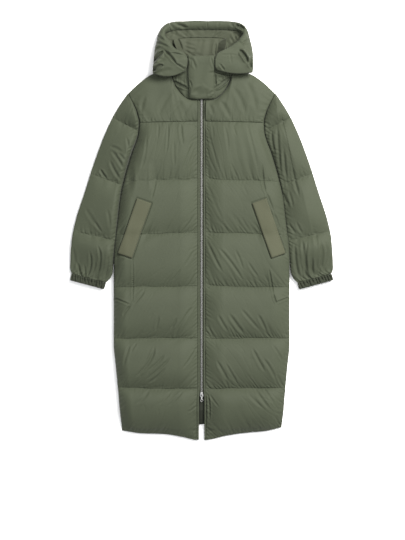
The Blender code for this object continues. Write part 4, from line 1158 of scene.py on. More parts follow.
def sleeve_ring(inner, outer, share, channel, form):
    """Points round a sleeve at one place: over it from the inner edge outwards, and back below."""
    s = np.linspace(0, 1, 160)
    width = np.linalg.norm(outer - inner)
    at_cuff = channel == len(SLEEVE_SEAMS) - 2
    drop = ease((share - 0.2) / 0.8) if at_cuff else 0.0
    bulk = (0.35 + 0.65 * ease(width / 90)) if channel == 0 else 1.0
    middle = MID + (CUFF_HEIGHT / 2 - MID) * drop
    valley = SLEEVE_VALLEY * bulk
    if at_cuff:
        valley = SLEEVE_VALLEY + (CUFF_HEIGHT / 2 - 1.5 - SLEEVE_VALLEY) * ease(share)
    crown = SLEEVE_CROWN - 11.0 * drop
    tall = valley + (crown * bulk - valley) * hang(share) * (1 - 0.6 * drop)
    inner_edge = THIN + float(arm_lift(inner[1])) * bulk
    tall = max(tall, inner_edge)
    crest = form["crest"]
    rise = inner_edge + (tall - inner_edge) * to_crest(s, crest, form["inner_slope"])
    rise = np.minimum(rise, THIN + (tall - THIN) * to_crest(1 - s, 1 - crest, form["outer_slope"]))
    outer_end = roll((1 - s) * width, 3.0)
    rise = rise * outer_end
    lift = 1 - roll(np.minimum(s, 1 - s) * width, min(UNDER_ROLL, 0.45 * width))
    sunk = (1 - puff(share)) ** 2 * (1.6 + 6.0 * lift) * (share not in (0.0, 1.0))
    under = np.minimum((middle - THIN) * lift + sunk, middle - THIN)
    under = np.where(s > 0.97, middle - (middle - under) * outer_end, under)
    line = np.vstack([np.column_stack([s, middle + rise]), np.column_stack([s, under])[-2::-1]])
    line = evenly(line * (width, 1.0), SLEEVE_COLS) / (width, 1.0)
    return np.column_stack([inner + (outer - inner) * line[:, :1], line[:, 1]])


def sleeve(side):
    """One sleeve: its cloth goes from the underarm seam up, round the outer fold and under."""
    rows, seam_rows = sleeve_rows()
    form = SLEEVE_FORMS[side]
    base = np.array([sleeve_ring(*row, form) for row in rows])
    shape, spacing, seed = base.shape[:2], (PITCH, 2.9), form["seed"]
    count = shape[0]
    free = sewn(shape, seam_rows) * np.clip((base[..., 2] - 0.4) / 3.0, 0, 1)
    near = np.exp(-far_from(seam_rows, count) * PITCH / 30.0)[:, None]
    near_cuff = np.exp(-(count - 1 - np.arange(count)) * PITCH / 34.0)[:, None]
    beside_arm = np.exp(-np.arange(shape[1]) * 2.6 / 20.0)[None, :]
    more_across = 0.006 + 0.03 * near + 0.06 * near_cuff
    more_down = 0.005 + 0.02 * beside_arm
    upright = grain(shape, spacing, 88, 40, 6.5, seed)
    slant = grain(shape, spacing, 60, 46, 11.0, seed + 10)
    start = upright * near * 0.6 + 0.5 * slant + 1.6 * upright * near_cuff
    base[..., 0] *= SIGN[side]
    normal = outwards(base, base.mean(axis=1, keepdims=True))
    at = refine(settle(base, normal, more_across, more_down, free, start))

    inner_x = refine(np.abs(base[:, [0, 0], 0]))[:, :1]
    seam_rows = [2 * r for r in seam_rows]
    shape, spacing = at.shape[:2], (PITCH / 2, 1.5)
    x, y = np.abs(at[..., 0]), at[..., 1]
    normal = outwards(at, at.mean(axis=1, keepdims=True))
    away = far_from(seam_rows, shape[0])[:, None] * PITCH / 2
    across = np.abs(x - inner_x)
    height = 0 * x
    for k, (top, bottom) in enumerate(zip(seam_rows[:-1], seam_rows[1:])):
        part, last = slice(top, bottom + 1), k == len(SLEEVE_SEAMS) - 2
        below = (np.arange(bottom - top, -1, -1) * PITCH / 2)[:, None]
        spaced, reach, deep = ((6, 11), (14, 70), 3.0) if last else ((8, 16), (10, 44), 1.8)
        at_low = (below, (0, 160 if last else form["gathered"]), spaced, (-0.25, 0.25), reach, deep)
        at_top = (below[::-1], at_low[1], (10, 20), (-0.3, 0.3), (6, 18), 0.9)
        height[part] += gathers(across[part], *at_low, seed + 300 + k)
        height[part] += gathers(across[part], *at_top, seed + 320 + k)
    height -= 0.45 * fine_lines(shape, spacing, 74, 26, 5.5, seed + 50) * patches(shape, spacing, seed + 70)
    height += crease(x, y, SLEEVE_CREASES[side]) + fold(x, y, SLEEVE_FOLDS[side])
    height += gathers(-y, across, (-466, 150), (9, 20), (-1.2, -0.3), (8, 34), 1.5, seed + 340)
    height *= np.minimum(1, away / 5) * np.clip(normal[..., 2] * 2.5, 0, 1)
    height -= 0.7 * bell(away / 2.0)
    height *= refine(free).clip(0, 1) ** 0.5
    at = at + normal * height[..., None]
    at[..., 2] = np.maximum(at[..., 2], 0)
    made = tube(f"sleeve_{side}.cloth", [at], "shell_fabric")
    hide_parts(f"sleeve_{side}")
    return at, seam_rows


sleeves = {side: sleeve(side) for side in SIGN}


def armhole_seam(side):
    """The turned-in edges of cloth that close an armhole's seam from inside."""
    y = np.linspace(475.5, 100, 140)[:, None]
    turn = np.linspace(0, 2 * np.pi, 9)[:-1]
    x = body_edge(y) + 1.2 + 4.0 * np.cos(turn)
    ring = np.stack([SIGN[side] * x, y + 0 * x, 17.0 + 1.6 * np.sin(turn) + 0 * x], -1)
    tube(f"armhole_seam_{side}.cloth", [ring], "shell_fabric")


for side in SIGN:
    armhole_seam(side)


def cuff(side):
    """The gathered elastic band at the end of a sleeve, a flattened tube with uneven pleats."""
    sign = SIGN[side]
    inner, outer = sleeve_rows()[0][-1][:2]
    width = np.linalg.norm(outer - inner)
    axis = (outer - inner) / width
    out = np.array([axis[1], -axis[0]])
    turn = np.arange(2 * CUFF_STEPS) * np.pi / CUFF_STEPS
    across = 0.5 - 0.5 * np.cos(turn)
    side_of = np.where(turn < np.pi, 1, -1)
    opening = side_of * CUFF_SLIT / 2
    opening[[0, CUFF_STEPS]] = 0
    rng = np.random.default_rng(91 if side == "left" else 92)
    pleats = []
    for place in np.cumsum(rng.uniform(7.0, 13.0, 16)) - 3:
        # place across the cuff, drift along it, depth, how far along it reaches
        pleats.append((place, sign * rng.uniform(1, 8), rng.uniform(0.3, 0.56), rng.uniform(0.45, 0.95)))
    rings, holes = [], []
    for depth in np.linspace(0, 1, 15):
        swell = 0.86 + 0.14 * roll(depth, 0.3) - 0.2 * ease((depth - 0.72) / 0.28) ** 2
        shrink = 0.6 * (1 - ease(depth / 0.3)) + 1.5 * ease((depth - 0.75) / 0.25)
        at = inner + out * (SEAM_GAP + 0.3 + depth * CUFF_DEPTH)
        pinch = 0.12 * bell((depth - 0.36) / 0.06) + 0.08 * bell((depth - 0.78) / 0.06)
        dent = 0 * across
        for place, drift, deep, keep in pleats:
            off = (across * width - place - drift * depth) / 2.3
            shown = deep * ease((depth + 0.1) / 0.3) * (1 - ease((depth - keep) / 0.2))
            dent += shown * (bell(off) - 0.12 * bell(abs(off) - 2.2))
        tall = CUFF_HEIGHT / 2 * swell * np.abs(np.sin(turn)) ** 0.45 * (1 - np.minimum(dent, 0.62) - pinch)
        outside = (rings, shrink + across * (width - 2 * shrink), side_of * tall)
        inside = (holes, np.clip(across, 0.045, 0.955) * width, opening)
        for stack, reach, half in (outside, inside):
            plan = at + axis * reach[:, None]
            stack.append(np.column_stack([sign * plan[:, 0], plan[:, 1], CUFF_HEIGHT / 2 + half]))
    made = wall(f"cuff_{side}.cloth", np.array(rings), np.array(holes), "cuff_fabric", ring=True)
    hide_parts(f"cuff_{side}")


for side in SIGN:
    cuff(side)


# ---------------------------------------------------------------- hood
HOOD_STATIONS = (
    # fold x, fold y, edge x, edge y, crest, base, low, sag, dip
    (-168.5, 541.0, -57, 549, 78, 52, 26, -15, 5),
    (-167.5, 560, -49.5, 566, 86, 47, 30, 0, 5),
    (-165.5, 584, -48, 585, 89, 22, 40, 0, 5),
    (-164, 606, -56, 605, 86, 0, 46, 0, 5),
    (-161.8, 630, -93, 628, 80, 0, 44, 0, 5),
    (-155, 658, -116, 656, 70, 0, 36, 0, 5),
    (-150, 682, -130, 675, 61, 0, 30, 0, 5),
    (-138, 704, -128, 687, 56, 0, 30, 0, 9),
    (-113, 721, -108, 693, 51, 0, 34, 0, 11),
    (-80, 726.5, -76, 698, 50, 0, 38, 0, 13),
    (0, 728, 0, 699, 50, 0, 40, 0, 13),
    (84, 727, 80, 698, 50, 0, 38, 0, 13),
    (121, 723.5, 115, 696, 51, 0, 34, 0, 11),
    (147, 710, 136, 692, 56, 0, 30, 0, 9),
    (160, 690, 146, 682, 62, 0, 30, 0, 5),
    (168, 661, 130, 657, 72, 0, 38, 0, 4),
    (174.5, 632, 97, 631, 81, 0, 50, 0, 1),
    (177.5, 606, 51, 605, 85, 0, 55, 0, -1),
    (178, 584, 44.6, 585, 83, 22, 45, 0, -1),
    (177.5, 562, 44.9, 566, 80, 47, 32, 0, -1),
    (176, 545, 50, 554, 75, 52, 26, -9, 1),
)
HOOD_SEAMS = (8, 12)  # the stations where the top band begins and ends
HOOD_WALL = 14.0
HOOD_TOP_WALL = 11.0
HOOD_BACK_THICK = 15.4
HOOD_GAP = SEAM_GAP / 2 + 0.1

# Creases and folds of the hood's upper side, in plan.
HOOD_CREASES = (
    # x, y of the first, middle and last point, half width, depth
    (-174, 574, -153, 597, -131, 620, 6, 21.0),
    (-174, 544, -152, 560, -130, 570, 6, 20.0),
    (-132, 623, -106, 597, -84, 567, 5, 6.0),
    (-90, 574, -70, 562, -50, 551, 4, 2.6),
    (-162, 652, -136, 640, -108, 628, 5, 4.6),
    (-160, 622, -146, 629, -126, 636, 5, 4.0),
    (-154, 676, -142, 664, -126, 652, 5, 4.0),
    (-146, 536, -124, 548, -98, 552, 8, 2.2),
    (-158, 596, -140, 588, -120, 586, 5, 1.6),
    (60, 574, 70, 561, 80, 548, 4, 2.8),
    (173, 602, 167, 578, 173, 554, 5, 10.0),
    (127, 622, 147, 601, 164, 568, 6, 17.0),
    (134, 638, 152, 651, 172, 659, 5, 3.4),
    (130, 713, 138, 702, 149, 691, 5, 11.0),
    (112, 715, 128, 704, 144, 690, 5, 10.0),
    (62, 600, 94, 604, 128, 600, 4, 0.9),
    (96, 612, 100, 590, 102, 572, 4, 0.8),
    (120, 650, 134, 644, 150, 626, 5, 1.8),
    (150, 690, 158, 676, 164, 662, 5, 2.4),
    (-90, 716, -72, 709, -46, 701, 7, 4.5),
    (-118, 714, -104, 706, -96, 696, 6, 2.6),
    (96, 720, 104, 712, 112, 701, 6, 2.4),
    (19, 724, 19, 712, 19, 699, 2.5, 1.8),
    (60, 722, 58, 712, 54, 702, 5, 1.2),
)
HOOD_FOLDS = (
    # x, y of the first, middle and last point, reach, rise
    (-132, 623, -106, 596, -84, 567, 24, 5.0),
    (-96, 582, -74, 563, -48, 549, 14, 4.0),
    (-116, 606, -92, 609, -56, 600, 18, 6.5),
    (-172, 582, -152, 600, -130, 622, 12, 7.0),
    (-170, 548, -152, 562, -126, 570, 14, 8.0),
    (123, 626, 147, 601, 163, 568, 20, 10.0),
    (172, 604, 166, 580, 176, 558, 10, 4.0),
    (-96, 718, -66, 708, -40, 702, 12, 4.0),
    (108, 716, 129, 704, 150, 686, 12, 7.0),
    (126, 716, 144, 702, 156, 690, 9, 5.0),
)


def hood_section(station, thick):
    """Outer and inner points of the hood's wall in the plane through one station."""
    fold_x, fold_y, edge_x, edge_y, crest, base, low, sag, dip = station
    at_fold, at_edge = np.array([fold_x, fold_y]), np.array([edge_x, edge_y])
    width = np.linalg.norm(at_fold - at_edge)
    inward = (at_edge - at_fold) / width
    half = thick / 2
    top, bottom = crest - half, base + half
    tall = (top - bottom) / 2
    at_top = float(ease((fold_y - 702) / 18))
    broad = 2.6 if fold_x < 0 else 1.25
    deep = min((0.78 - 0.48 * at_top) * (width - half), broad * tall + 6)
    centre = deep + half
    s = np.linspace(0, 1, 40, endpoint=False)
    upper = np.column_stack([width - s * (width - centre), top - dip * (1 - s) ** 2])
    turn = np.linspace(0, np.pi, 80)
    bend = np.column_stack([centre - deep * np.sin(turn), (top + bottom) / 2 + tall * np.cos(turn)])
    low = max(low, centre + 4)
    s = np.linspace(0, 1, 12)[1:]
    lower = np.column_stack([centre + (low - centre) * s, bottom + 0 * s])
    line = evenly(np.vstack([upper, bend, lower]), HOOD_COLS)
    slope = np.gradient(line, axis=0)
    normal = np.column_stack([slope[:, 1], -slope[:, 0]])
    normal /= np.linalg.norm(normal, axis=1, keepdims=True)
    thin = half * (0.35 + 0.65 * roll(reach_of(line), 7))
    layers = []
    for sign in (1, -1):
        at = line + sign * normal * thin[:, None]
        at[:, 1] = np.maximum(at[:, 1], base)
        plan = at_fold + inward * at[:, :1]
        plan[:, 1] += sag * np.sin(np.pi * np.clip(at[:, 0] / width, 0, 1))
        layers.append(np.column_stack([plan, at[:, 1]]))
    return layers


def hood_panel(name, first, last, thick, trims, seed):
    """Part of the hood's rim between two stations, trimmed back a little at its seams."""
    table = np.array(HOOD_STATIONS, float)
    reach = reach_of(table[:, :2])
    start, end = reach[first] + trims[0], reach[last] - trims[1]
    count = int(round((end - start) / HOOD_PITCH[0] / 2)) * 2 + 1
    stations = curve_at(table, reach, np.linspace(start, end, count))
    outer, inner = (np.array(layer) for layer in zip(*(hood_section(s, thick) for s in stations)))
    shape = outer.shape[:2]
    free = np.ones(shape)
    free[:, 0] = 0.4
    free[[0, -1]] = 0
    free *= np.clip((outer[..., 2] - 0.4 - stations[:, 5][:, None]) / 4.0, 0, 1)

    def rooms(shape, pitch):
        """Distances from the nearer end, and from the hood's edge."""
        end_room = far_from([0, shape[0] - 1], shape[0])[:, None] * pitch[0]
        return end_room, np.arange(shape[1])[None, :] * pitch[1]

    end_room, edge_room = rooms(shape, HOOD_PITCH)
    near_edge, near_end = np.exp(-edge_room / 26.0), np.exp(-end_room / 26.0)
    broad = grain(shape, HOOD_PITCH, 20, 60, 14, seed)
    fine = grain(shape, HOOD_PITCH, 5, 24, 5.5, seed + 10)
    start = 0.6 * broad + 0.6 * fine * near_edge
    middle = 0.5 * (outer + inner)
    hidden = middle + 0.06 * (outer - inner)
    lining = wall(f"{name}.lining", inner, hidden, "lining_fabric", coarse=3)
    more = (0.006 + 0.03 * near_end, 0.006 + 0.03 * near_edge)
    at = refine(settle(outer, outwards(outer, inner), *more, free, start, stuffing=0.005, cap=7.0))

    shape, spacing = at.shape[:2], (HOOD_PITCH[0] / 2, HOOD_PITCH[1] / 2)
    core = refine(middle + 0.1 * (outer - inner))
    normal = outwards(at, core)
    end_room, edge_room = rooms(shape, spacing)
    run = np.arange(shape[0])[:, None] * spacing[0]
    height = gathers(run, edge_room, (0, run.max()), (6, 12), (-0.7, 0.7), (5, 16), 1.3, seed + 300)
    height -= 0.5 * fine_lines(shape, spacing, 12, 26, 5.0, seed + 50) * patches(shape, spacing, seed + 70)
    height -= 0.5 * bell((edge_room - 9.0) / 1.6)
    height = height * np.minimum(1, edge_room / 4)
    pressed = crease(at[..., 0], at[..., 1], HOOD_CREASES) + fold(at[..., 0], at[..., 1], HOOD_FOLDS)
    height *= np.clip(0.2 + 1.6 * normal[..., 2], 0.15, 1)
    near_seam = np.minimum(1, end_room / 5)
    at = at + normal * (height * near_seam)[..., None]
    at[..., 2] += pressed * np.clip((normal[..., 2] - 0.02) * 5, 0, 1) * near_seam
    at[..., 2] = np.maximum(at[..., 2], 0)
    shell = wall(f"{name}.cloth", at, core, "shell_fabric", coarse=4)
    for made in (shell, lining):
        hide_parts(name)


hood_panel("hood_right", 0, HOOD_SEAMS[0], HOOD_WALL, (0, HOOD_GAP), 101)
hood_panel("hood_top", *HOOD_SEAMS, HOOD_TOP_WALL, (HOOD_GAP, HOOD_GAP), 102)
hood_panel("hood_left", HOOD_SEAMS[1], -1, HOOD_WALL, (HOOD_GAP, 0), 103)

# Creases of the lining between the hood's rim and the collar, in plan.
BACK_LINING_CREASES = (
    # x, y of the first, middle and last point, half width, depth
    (-100, 676, -92, 684, -88, 696, 6, 3.0),
    (-118, 668, -108, 676, -100, 690, 6, 3.4),
    (-60, 674, -56, 684, -50, 696, 7, 1.8),
    (46, 672, 58, 682, 68, 690, 4, 2.6),
    (36, 680, 46, 688, 50, 698, 4, 1.8),
    (112, 688, 128, 678, 144, 664, 6, 9.0),
    (108, 690, 114, 676, 118, 660, 5, 7.0),
    (122, 696, 134, 686, 148, 676, 5, 8.0),
    (100, 672, 106, 660, 110, 648, 5, 3.0),
    (-104, 664, -100, 650, -96, 636, 6, 4.0),
)


def towards(points, targets, distance):
    """Points moved by a distance towards their targets."""
    way = targets - points
    return points + way / np.linalg.norm(way, axis=1, keepdims=True) * distance


def hood_back():
    """The middle of the hood's back inside the rim: the lining rolls up behind the collar."""
    used = HOOD_STATIONS[3:-3]
    lows = np.array([hood_section(s, HOOD_WALL)[0][-1, :2] for s in used])
    at_fold, at_edge = (np.array([s[k : k + 2] for s in used]) for k in (0, 2))
    neck = [(60, 558.5), (0, 557), (-60, 558.5)]
    outlines = []
    for line in (towards(at_edge, at_fold, 9.0), towards(lows, np.array([5.0, 600.0]), 0.5)):
        ends = [(line[-1, 0], 566.5), *neck, (line[0, 0], 566.5)]
        outlines.append(evenly(np.vstack([line, ends, line[:1]]), 201)[:-1])
    lip, rim = outlines
    middle = rim.mean(axis=0)
    collar_top = np.array([s[3:5] for s in COLLAR_STATIONS[6:]], float)
    collar_top = np.vstack([collar_top, (collar_top * (-1, 1))[::-1]])
    shares = np.linspace(0.02, 1, 40)
    plan = middle + (lip - middle) * shares[:, None, None]
    x, y = plan[..., 0], plan[..., 1]
    edge_angle = np.arctan2(collar_top[:, 1] - 600, collar_top[:, 0])
    order = np.argsort(edge_angle)
    edge_reach = np.linalg.norm(collar_top - (0, 600), axis=1)[order]
    beyond = np.hypot(x, y - 600) - np.interp(np.arctan2(y - 600, x), edge_angle[order], edge_reach)
    z = (13.6 + 5.0 * np.clip((beyond - 3) / 24, 0, 1)) * roll(beyond + 1.6, 1.4) * ease((y - 612) / 20)
    z = 14.6 + z
    puckers = grain(z.shape, (3.4, 3.4), 82, 18, 6.0, 111) * 0.4
    puckers += crease(x, y, BACK_LINING_CREASES)
    room = np.linalg.norm(lip - middle, axis=1)[None, :] * (1 - shares[:, None])
    z = z + puckers * np.clip(beyond / 8, 0.15, 1) * np.minimum(1, room / 6)
    z = z - 3.0 * (1 - roll(room, 5))
    under_lip = np.minimum(HOOD_BACK_THICK, z[-1] - 1)
    floor = 0 * rim[:, 0]
    rings = [(lip, under_lip), (rim, floor + HOOD_BACK_THICK), (rim, floor)]
    rings.append((middle + (rim - middle) * 0.02, floor))
    grid = np.concatenate([np.dstack([plan, z]), [np.column_stack(ring) for ring in rings]])
    made = tube("hood_back.lining", [grid], "lining_fabric")
    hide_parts("hood_back")


hood_back()


# ---------------------------------------------------------------- collar and chin flap
COLLAR_ROLL = (
    # distance from the middle, with 200 added behind the shoulders, and the share of the collar's
    # height at which its two rolls meet
    (9, 0.27), (31, 0.26), (52, 0.22), (77, 0.17), (98, 0.12), (103, 0.2), (260, 0.34), (303, 0.34),
)
# Creases of the collar's lining, in plan.
COLLAR_CREASES = (
    # x, y of the first, middle and last point, half width, depth
    (-88, 668, -77, 650, -64, 616, 5, 6.0),
    (50, 655, 47, 630, 47, 600, 5, 4.0),
    (-62, 654, -42, 646, -18, 643, 5, 1.8),
    (-60, 640, -38, 630, -12, 626, 5, 2.0),
    (-58, 628, -38, 612, -14, 598, 5, 3.0),
    (-62, 612, -46, 602, -32, 590, 5, 2.6),
    (-40, 622, -20, 612, 4, 610, 6, 1.4),
    (-50, 662, -10, 656, 40, 660, 8, 1.4),
)
# Creases of its outer side beside the neck seam, in plan.
NECK_CREASES = (
    # x, y of the first, middle and last point, half width, depth
    (-112, 524, -76, 505, -40, 489, 5, 13.0),
    (-106, 532, -82, 541, -50, 547, 6, 7.0),
    (-54, 536, -52, 516, -50, 496, 3, 2.0),
    (-72, 520, -62, 512, -56, 504, 4, 1.6),
    (40, 490, 70, 508, 108, 541, 5, 15.0),
    (40, 553, 62, 546, 100, 539, 5, 9.0),
    (46, 548, 47, 522, 48, 496, 4, 6.0),
    (50, 508, 68, 516, 90, 522, 4, 4.0),
    (44, 520, 48, 512, 52, 502, 3.5, 2.6),
    (60, 522, 66, 514, 72, 508, 3.5, 2.4),
    (50, 528, 58, 518, 62, 508, 3, 1.6),
)


def collar():
    """The padded collar, one ring from the zip round the back of the neck to the zip."""
    half = np.array(COLLAR_STATIONS, float)
    path = np.vstack([half[:-1] * np.array([-1, 1, 1, -1, 1, 1]), half[::-1]])
    reach = reach_of(path[:, :3])
    fine = curve_at(path, reach, np.linspace(0, reach[-1], 171))
    v = np.unique(np.concatenate([np.linspace(0, COLLAR_SEAM, 17), np.linspace(COLLAR_SEAM, 1, 31)]))
    seam = through(COLLAR_ROLL, np.abs(fine[:, 0]) + 200.0 * (fine[:, 1] > 556.8))[None, :]
    lower, upper = v / COLLAR_SEAM, (v - COLLAR_SEAM) / (1 - COLLAR_SEAM)
    share = np.where(v[:, None] < COLLAR_SEAM, lower[:, None] * seam, seam + upper[:, None] * (1 - seam))
    middle = fine[None, :, :3] + (fine[:, 3:] - fine[:, :3])[None] * share[..., None]
    normal = outwards(middle, (0, 580.0, 40.0))
    upright = (1 - ease(v / 0.13))[:, None, None]
    normal = normal * (1 - upright) + np.array([0, 0, 1.0]) * upright
    normal /= np.linalg.norm(normal, axis=-1, keepdims=True)
    swell = np.where(v < COLLAR_SEAM, puff(lower), puff(upper))
    top_edge = 0.3 + 0.7 * roll((1 - v) * 150, 5)
    thick = ((3.0 + (COLLAR_WALL / 2 - 3.0) * swell) * top_edge)[:, None, None]
    shape = middle.shape[:2]
    seam_rows = [0, int(np.argmin(np.abs(v - COLLAR_SEAM))), shape[0] - 1]
    more_across = 0.006 + 0.04 * np.exp(-far_from(seam_rows, shape[0]) * COLLAR_PITCH / 24.0)[:, None]
    sides = (
        # layer, seed, look, way out, share of the thickness, creases, where the creases begin
        ("cloth", 121, "shell_fabric", normal, 1.0, NECK_CREASES, -math.inf),
        ("lining", 122, "lining_fabric", -normal, 0.9, COLLAR_CREASES, 575),
    )
    for layer, seed, look, out, deep, table, lowest in sides:
        start = 0.8 * grain(shape, (COLLAR_PITCH, COLLAR_PITCH), 84, 34, 6.5, seed)
        base = middle + out * thick * deep
        at = settle(base, out, more_across, 0.006, sewn(shape, seam_rows), start, cap=3.0)
        x, y = at[..., 0], at[..., 1]
        at[..., 2] += crease(x, y, table) * (y > lowest)
        made = wall(f"collar.{layer}", at, middle + out * 0.15, look, coarse=4)
        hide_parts("collar")


collar()

COLLAR_FOLDS = {
    # low line beside the back lining and high line beside the collar's edge: x, y, z
    "left": (
        ((57, 656, 20), (50, 648, 19), (47, 628, 18), (47, 607, 19), (52, 600, 22)),
        ((84, 668, 33), (88, 662, 46), (86, 641, 60), (81, 622, 64), (70, 612, 58)),
    ),
    "right": (
        ((-84, 665, 27), (-79, 655, 27), (-73, 641, 27), (-67, 622, 27), (-58, 603, 28)),
        ((-92, 668, 29), (-97, 658, 38), (-92, 641, 50), (-86, 626, 56), (-73, 612, 52)),
    ),
}


def collar_fold(side):
    """The folded front edge of the collar that lies inside it, seen beside the back lining."""
    t = np.linspace(0, 1, 41)
    low, high = (along(line, t) for line in COLLAR_FOLDS[side])
    u = np.linspace(0, 1, 25)[None, :]
    grid = low[:, None] + (high - low)[:, None] * u[..., None]
    bow = np.sin(np.pi * t)[:, None] ** 0.5 * np.sin(np.pi * u) ** 0.8
    grid[..., 2] += 1.2 * bow + 0.5 * bow * grain((41, 25), (1.6, 1.6), 30, 14, 4, 126)
    drop = 1 - roll(np.minimum(u, 1 - u) * 34, 4)
    grid[..., 2] -= 3.0 * drop + 3.0 * (1 - roll(np.minimum(t, 1 - t) * 60, 5))[:, None]
    made = slab(f"collar_fold_{side}.lining", grid, 24.0, "lining_fabric")


for side in SIGN:
    collar_fold(side)

FLAP_EDGES = (
    # share of the height, left edge, right edge
    (0.0, -41.5, 45.5),
    (0.06, -43.4, 45.6),
    (0.25, -43.6, 44.0),
    (0.45, -45.6, 42.6),
    (0.62, -47.4, 43.2),
    (0.8, -46.6, 43.9),
    (0.92, -47.0, 43.9),
    (1.0, -47.0, 44.4),
)
FLAP_ENDS = (456.5, 603.5)  # heights of its lower and upper end
FLAP_WIDTH = 87.0
FLAP_THICK = 14.0
FLAP_CREASES = (
    # x, y of the first, middle and last point, half width, depth
    (-42, 600, -28, 578, -20, 552, 5, 2.6),
    (-46, 596, -38, 584, -36, 566, 4, 2.0),
    (-34, 492, -2, 474, 34, 486, 15, 2.6),
    (-38, 470, -20, 482, 4, 498, 7, 1.2),
    (22, 466, 32, 476, 44, 484, 5, 1.6),
    (-46, 520, -38, 508, -36, 492, 4, 1.4),
    (30, 596, 36, 580, 40, 560, 4, 1.0),
)
FRONT_NECK, FRONT_TOP = COLLAR_STATIONS[0][1:3], COLLAR_STATIONS[0][4:6]  # y, z of the collar at the zip


def collar_height(y):
    """Height of the collar's outer surface behind the chin flap."""
    share = (np.asarray(y, float) - FRONT_NECK[0]) / (FRONT_TOP[0] - FRONT_NECK[0])
    return FRONT_NECK[1] + (FRONT_TOP[1] - FRONT_NECK[1]) * share + COLLAR_WALL / 2


def chin_flap():
    """The padded flap that covers the zip from the hood's edge down to the neck seam."""
    across, up = np.meshgrid(dense_ends(41), dense_ends(61))
    edges = np.array(FLAP_EDGES)
    left, right = through(edges[:, :2], up), through(edges[:, ::2], up)
    x = left + (right - left) * across
    bottom = FLAP_ENDS[0] + 2.2 * (2 * across - 1) ** 4 - 2.0 * np.sin(np.pi * across**0.7)
    top = FLAP_ENDS[1] - 2.0 * np.sin(np.pi * across)
    y = bottom + (top - bottom) * up
    low = collar_height(np.clip(y, NECK_Y, 602)) + LIE_GAP
    length = FLAP_ENDS[1] - FLAP_ENDS[0]
    held = ease((up - 0.6) / 0.12)
    right_room = (1 - across) * FLAP_WIDTH * (1 - held) + FLAP_WIDTH * held
    edge_u = roll(np.minimum(across * FLAP_WIDTH, right_room), 24)
    end_room = np.minimum(up, 1 - up) * length
    thick = 5.0 + (FLAP_THICK - 5.0) * edge_u * roll(end_room, 26)
    base = np.stack([x, y, low + thick], -1)
    room = np.minimum(np.minimum(across, 1 - across) * FLAP_WIDTH, end_room)
    more = 0.006 + 0.03 * np.exp(-room / 12.0)
    start = 0.7 * grain(x.shape, (2.4, 2.2), 75, 30, 8, 131)
    base[..., 2] += crease(x, y, FLAP_CREASES) * np.minimum(1, room / 6)
    at = settle(base, upwards(base), more, more, sewn(x.shape), start, cap=3.0)
    made = wall("chin_flap.cloth", at, np.stack([x, y, low], -1), "shell_fabric", coarse=4)
    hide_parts("chin_flap")


chin_flap()


# ---------------------------------------------------------------- pockets
def bridged_over(heights, steps, steepest):
    """Lifts each row of heights where needed, so that it falls no steeper than the given slope."""
    slope = steepest * np.abs(steps[:, None] - steps[None, :])
    return (heights[:, None, :] - slope[None]).max(axis=2)


def pocket_welt(side):
    """A slanted welt that lies on the front and bridges its hollows."""
    sign, grid = SIGN[side], fronts[side][0]
    tree = BVHTree.FromPolygons([Vector(p) for p in grid.reshape(-1, 3)], grid_faces(*grid.shape[:2]))

    def height_on(x, y):
        """Height of the front's cloth at a place, 0 beside it."""
        where = tree.ray_cast(Vector((x, y, 500.0)), Vector((0, 0, -1)))[0]
        return where[2] if where else 0.0

    lean = math.radians(WELT["lean"])
    long_way = np.array([sign * math.sin(lean), -math.cos(lean)])
    wide_way = np.array([math.cos(lean), sign * math.sin(lean)])
    centre = np.array([sign * WELT_CENTRE[0], WELT_CENTRE[1]])
    u, v = dense_ends(19), dense_ends(61)
    across, down = np.meshgrid(u - 0.5, v - 0.5)
    plan = centre + wide_way * across[..., None] * WELT["width"]
    plan = plan + long_way * down[..., None] * WELT["length"]
    seat = np.array([[height_on(*p) for p in row] for row in plan])
    seat = bridged_over(seat.T, v * WELT["length"], 0.24).T
    seat = bridged_over(seat, u * WELT["width"], 0.3) + 0.3
    for _ in range(6):
        seat = seat + 0.2 * bend_back(seat[..., None])[..., 0]
    edge_u = roll((0.5 - np.abs(across)) * WELT["width"], 4)
    edge_v = roll((0.5 - np.abs(down)) * WELT["length"], 4)
    ripple = 0.25 * grain(seat.shape, (3.4, 3.0), 80, 40, 8, 141 if side == "left" else 142)
    thick = 1.8 + (WELT["thick"] - 1.8) * edge_u * edge_v + ripple * edge_u * edge_v
    bent = (4.5 if side == "right" else 1.5) * bell((down - 0.06) / 0.16)
    outer, inner = np.dstack([plan, seat + thick + bent * edge_u]), np.dstack([plan, seat])
    # The welt look is partly painted light: a lighter copy of the shell fabric.
    made = wall(f"pocket_welt_{side}.cloth", outer, inner, "welt", coarse=2, slot="shell_fabric")
    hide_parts(f"pocket_welt_{side}")
    return outer


welts = {side: pocket_welt(side) for side in SIGN}


# ---------------------------------------------------------------- zip
def zip_height(y):
    """Height of the middle of the tape along the coat."""
    knots = (430.0, FRONT_NECK[0], FRONT_TOP[0])
    return np.interp(y, knots, (ZIP_HEIGHT, FRONT_NECK[1] + 0.5, FRONT_TOP[1] + 0.5))


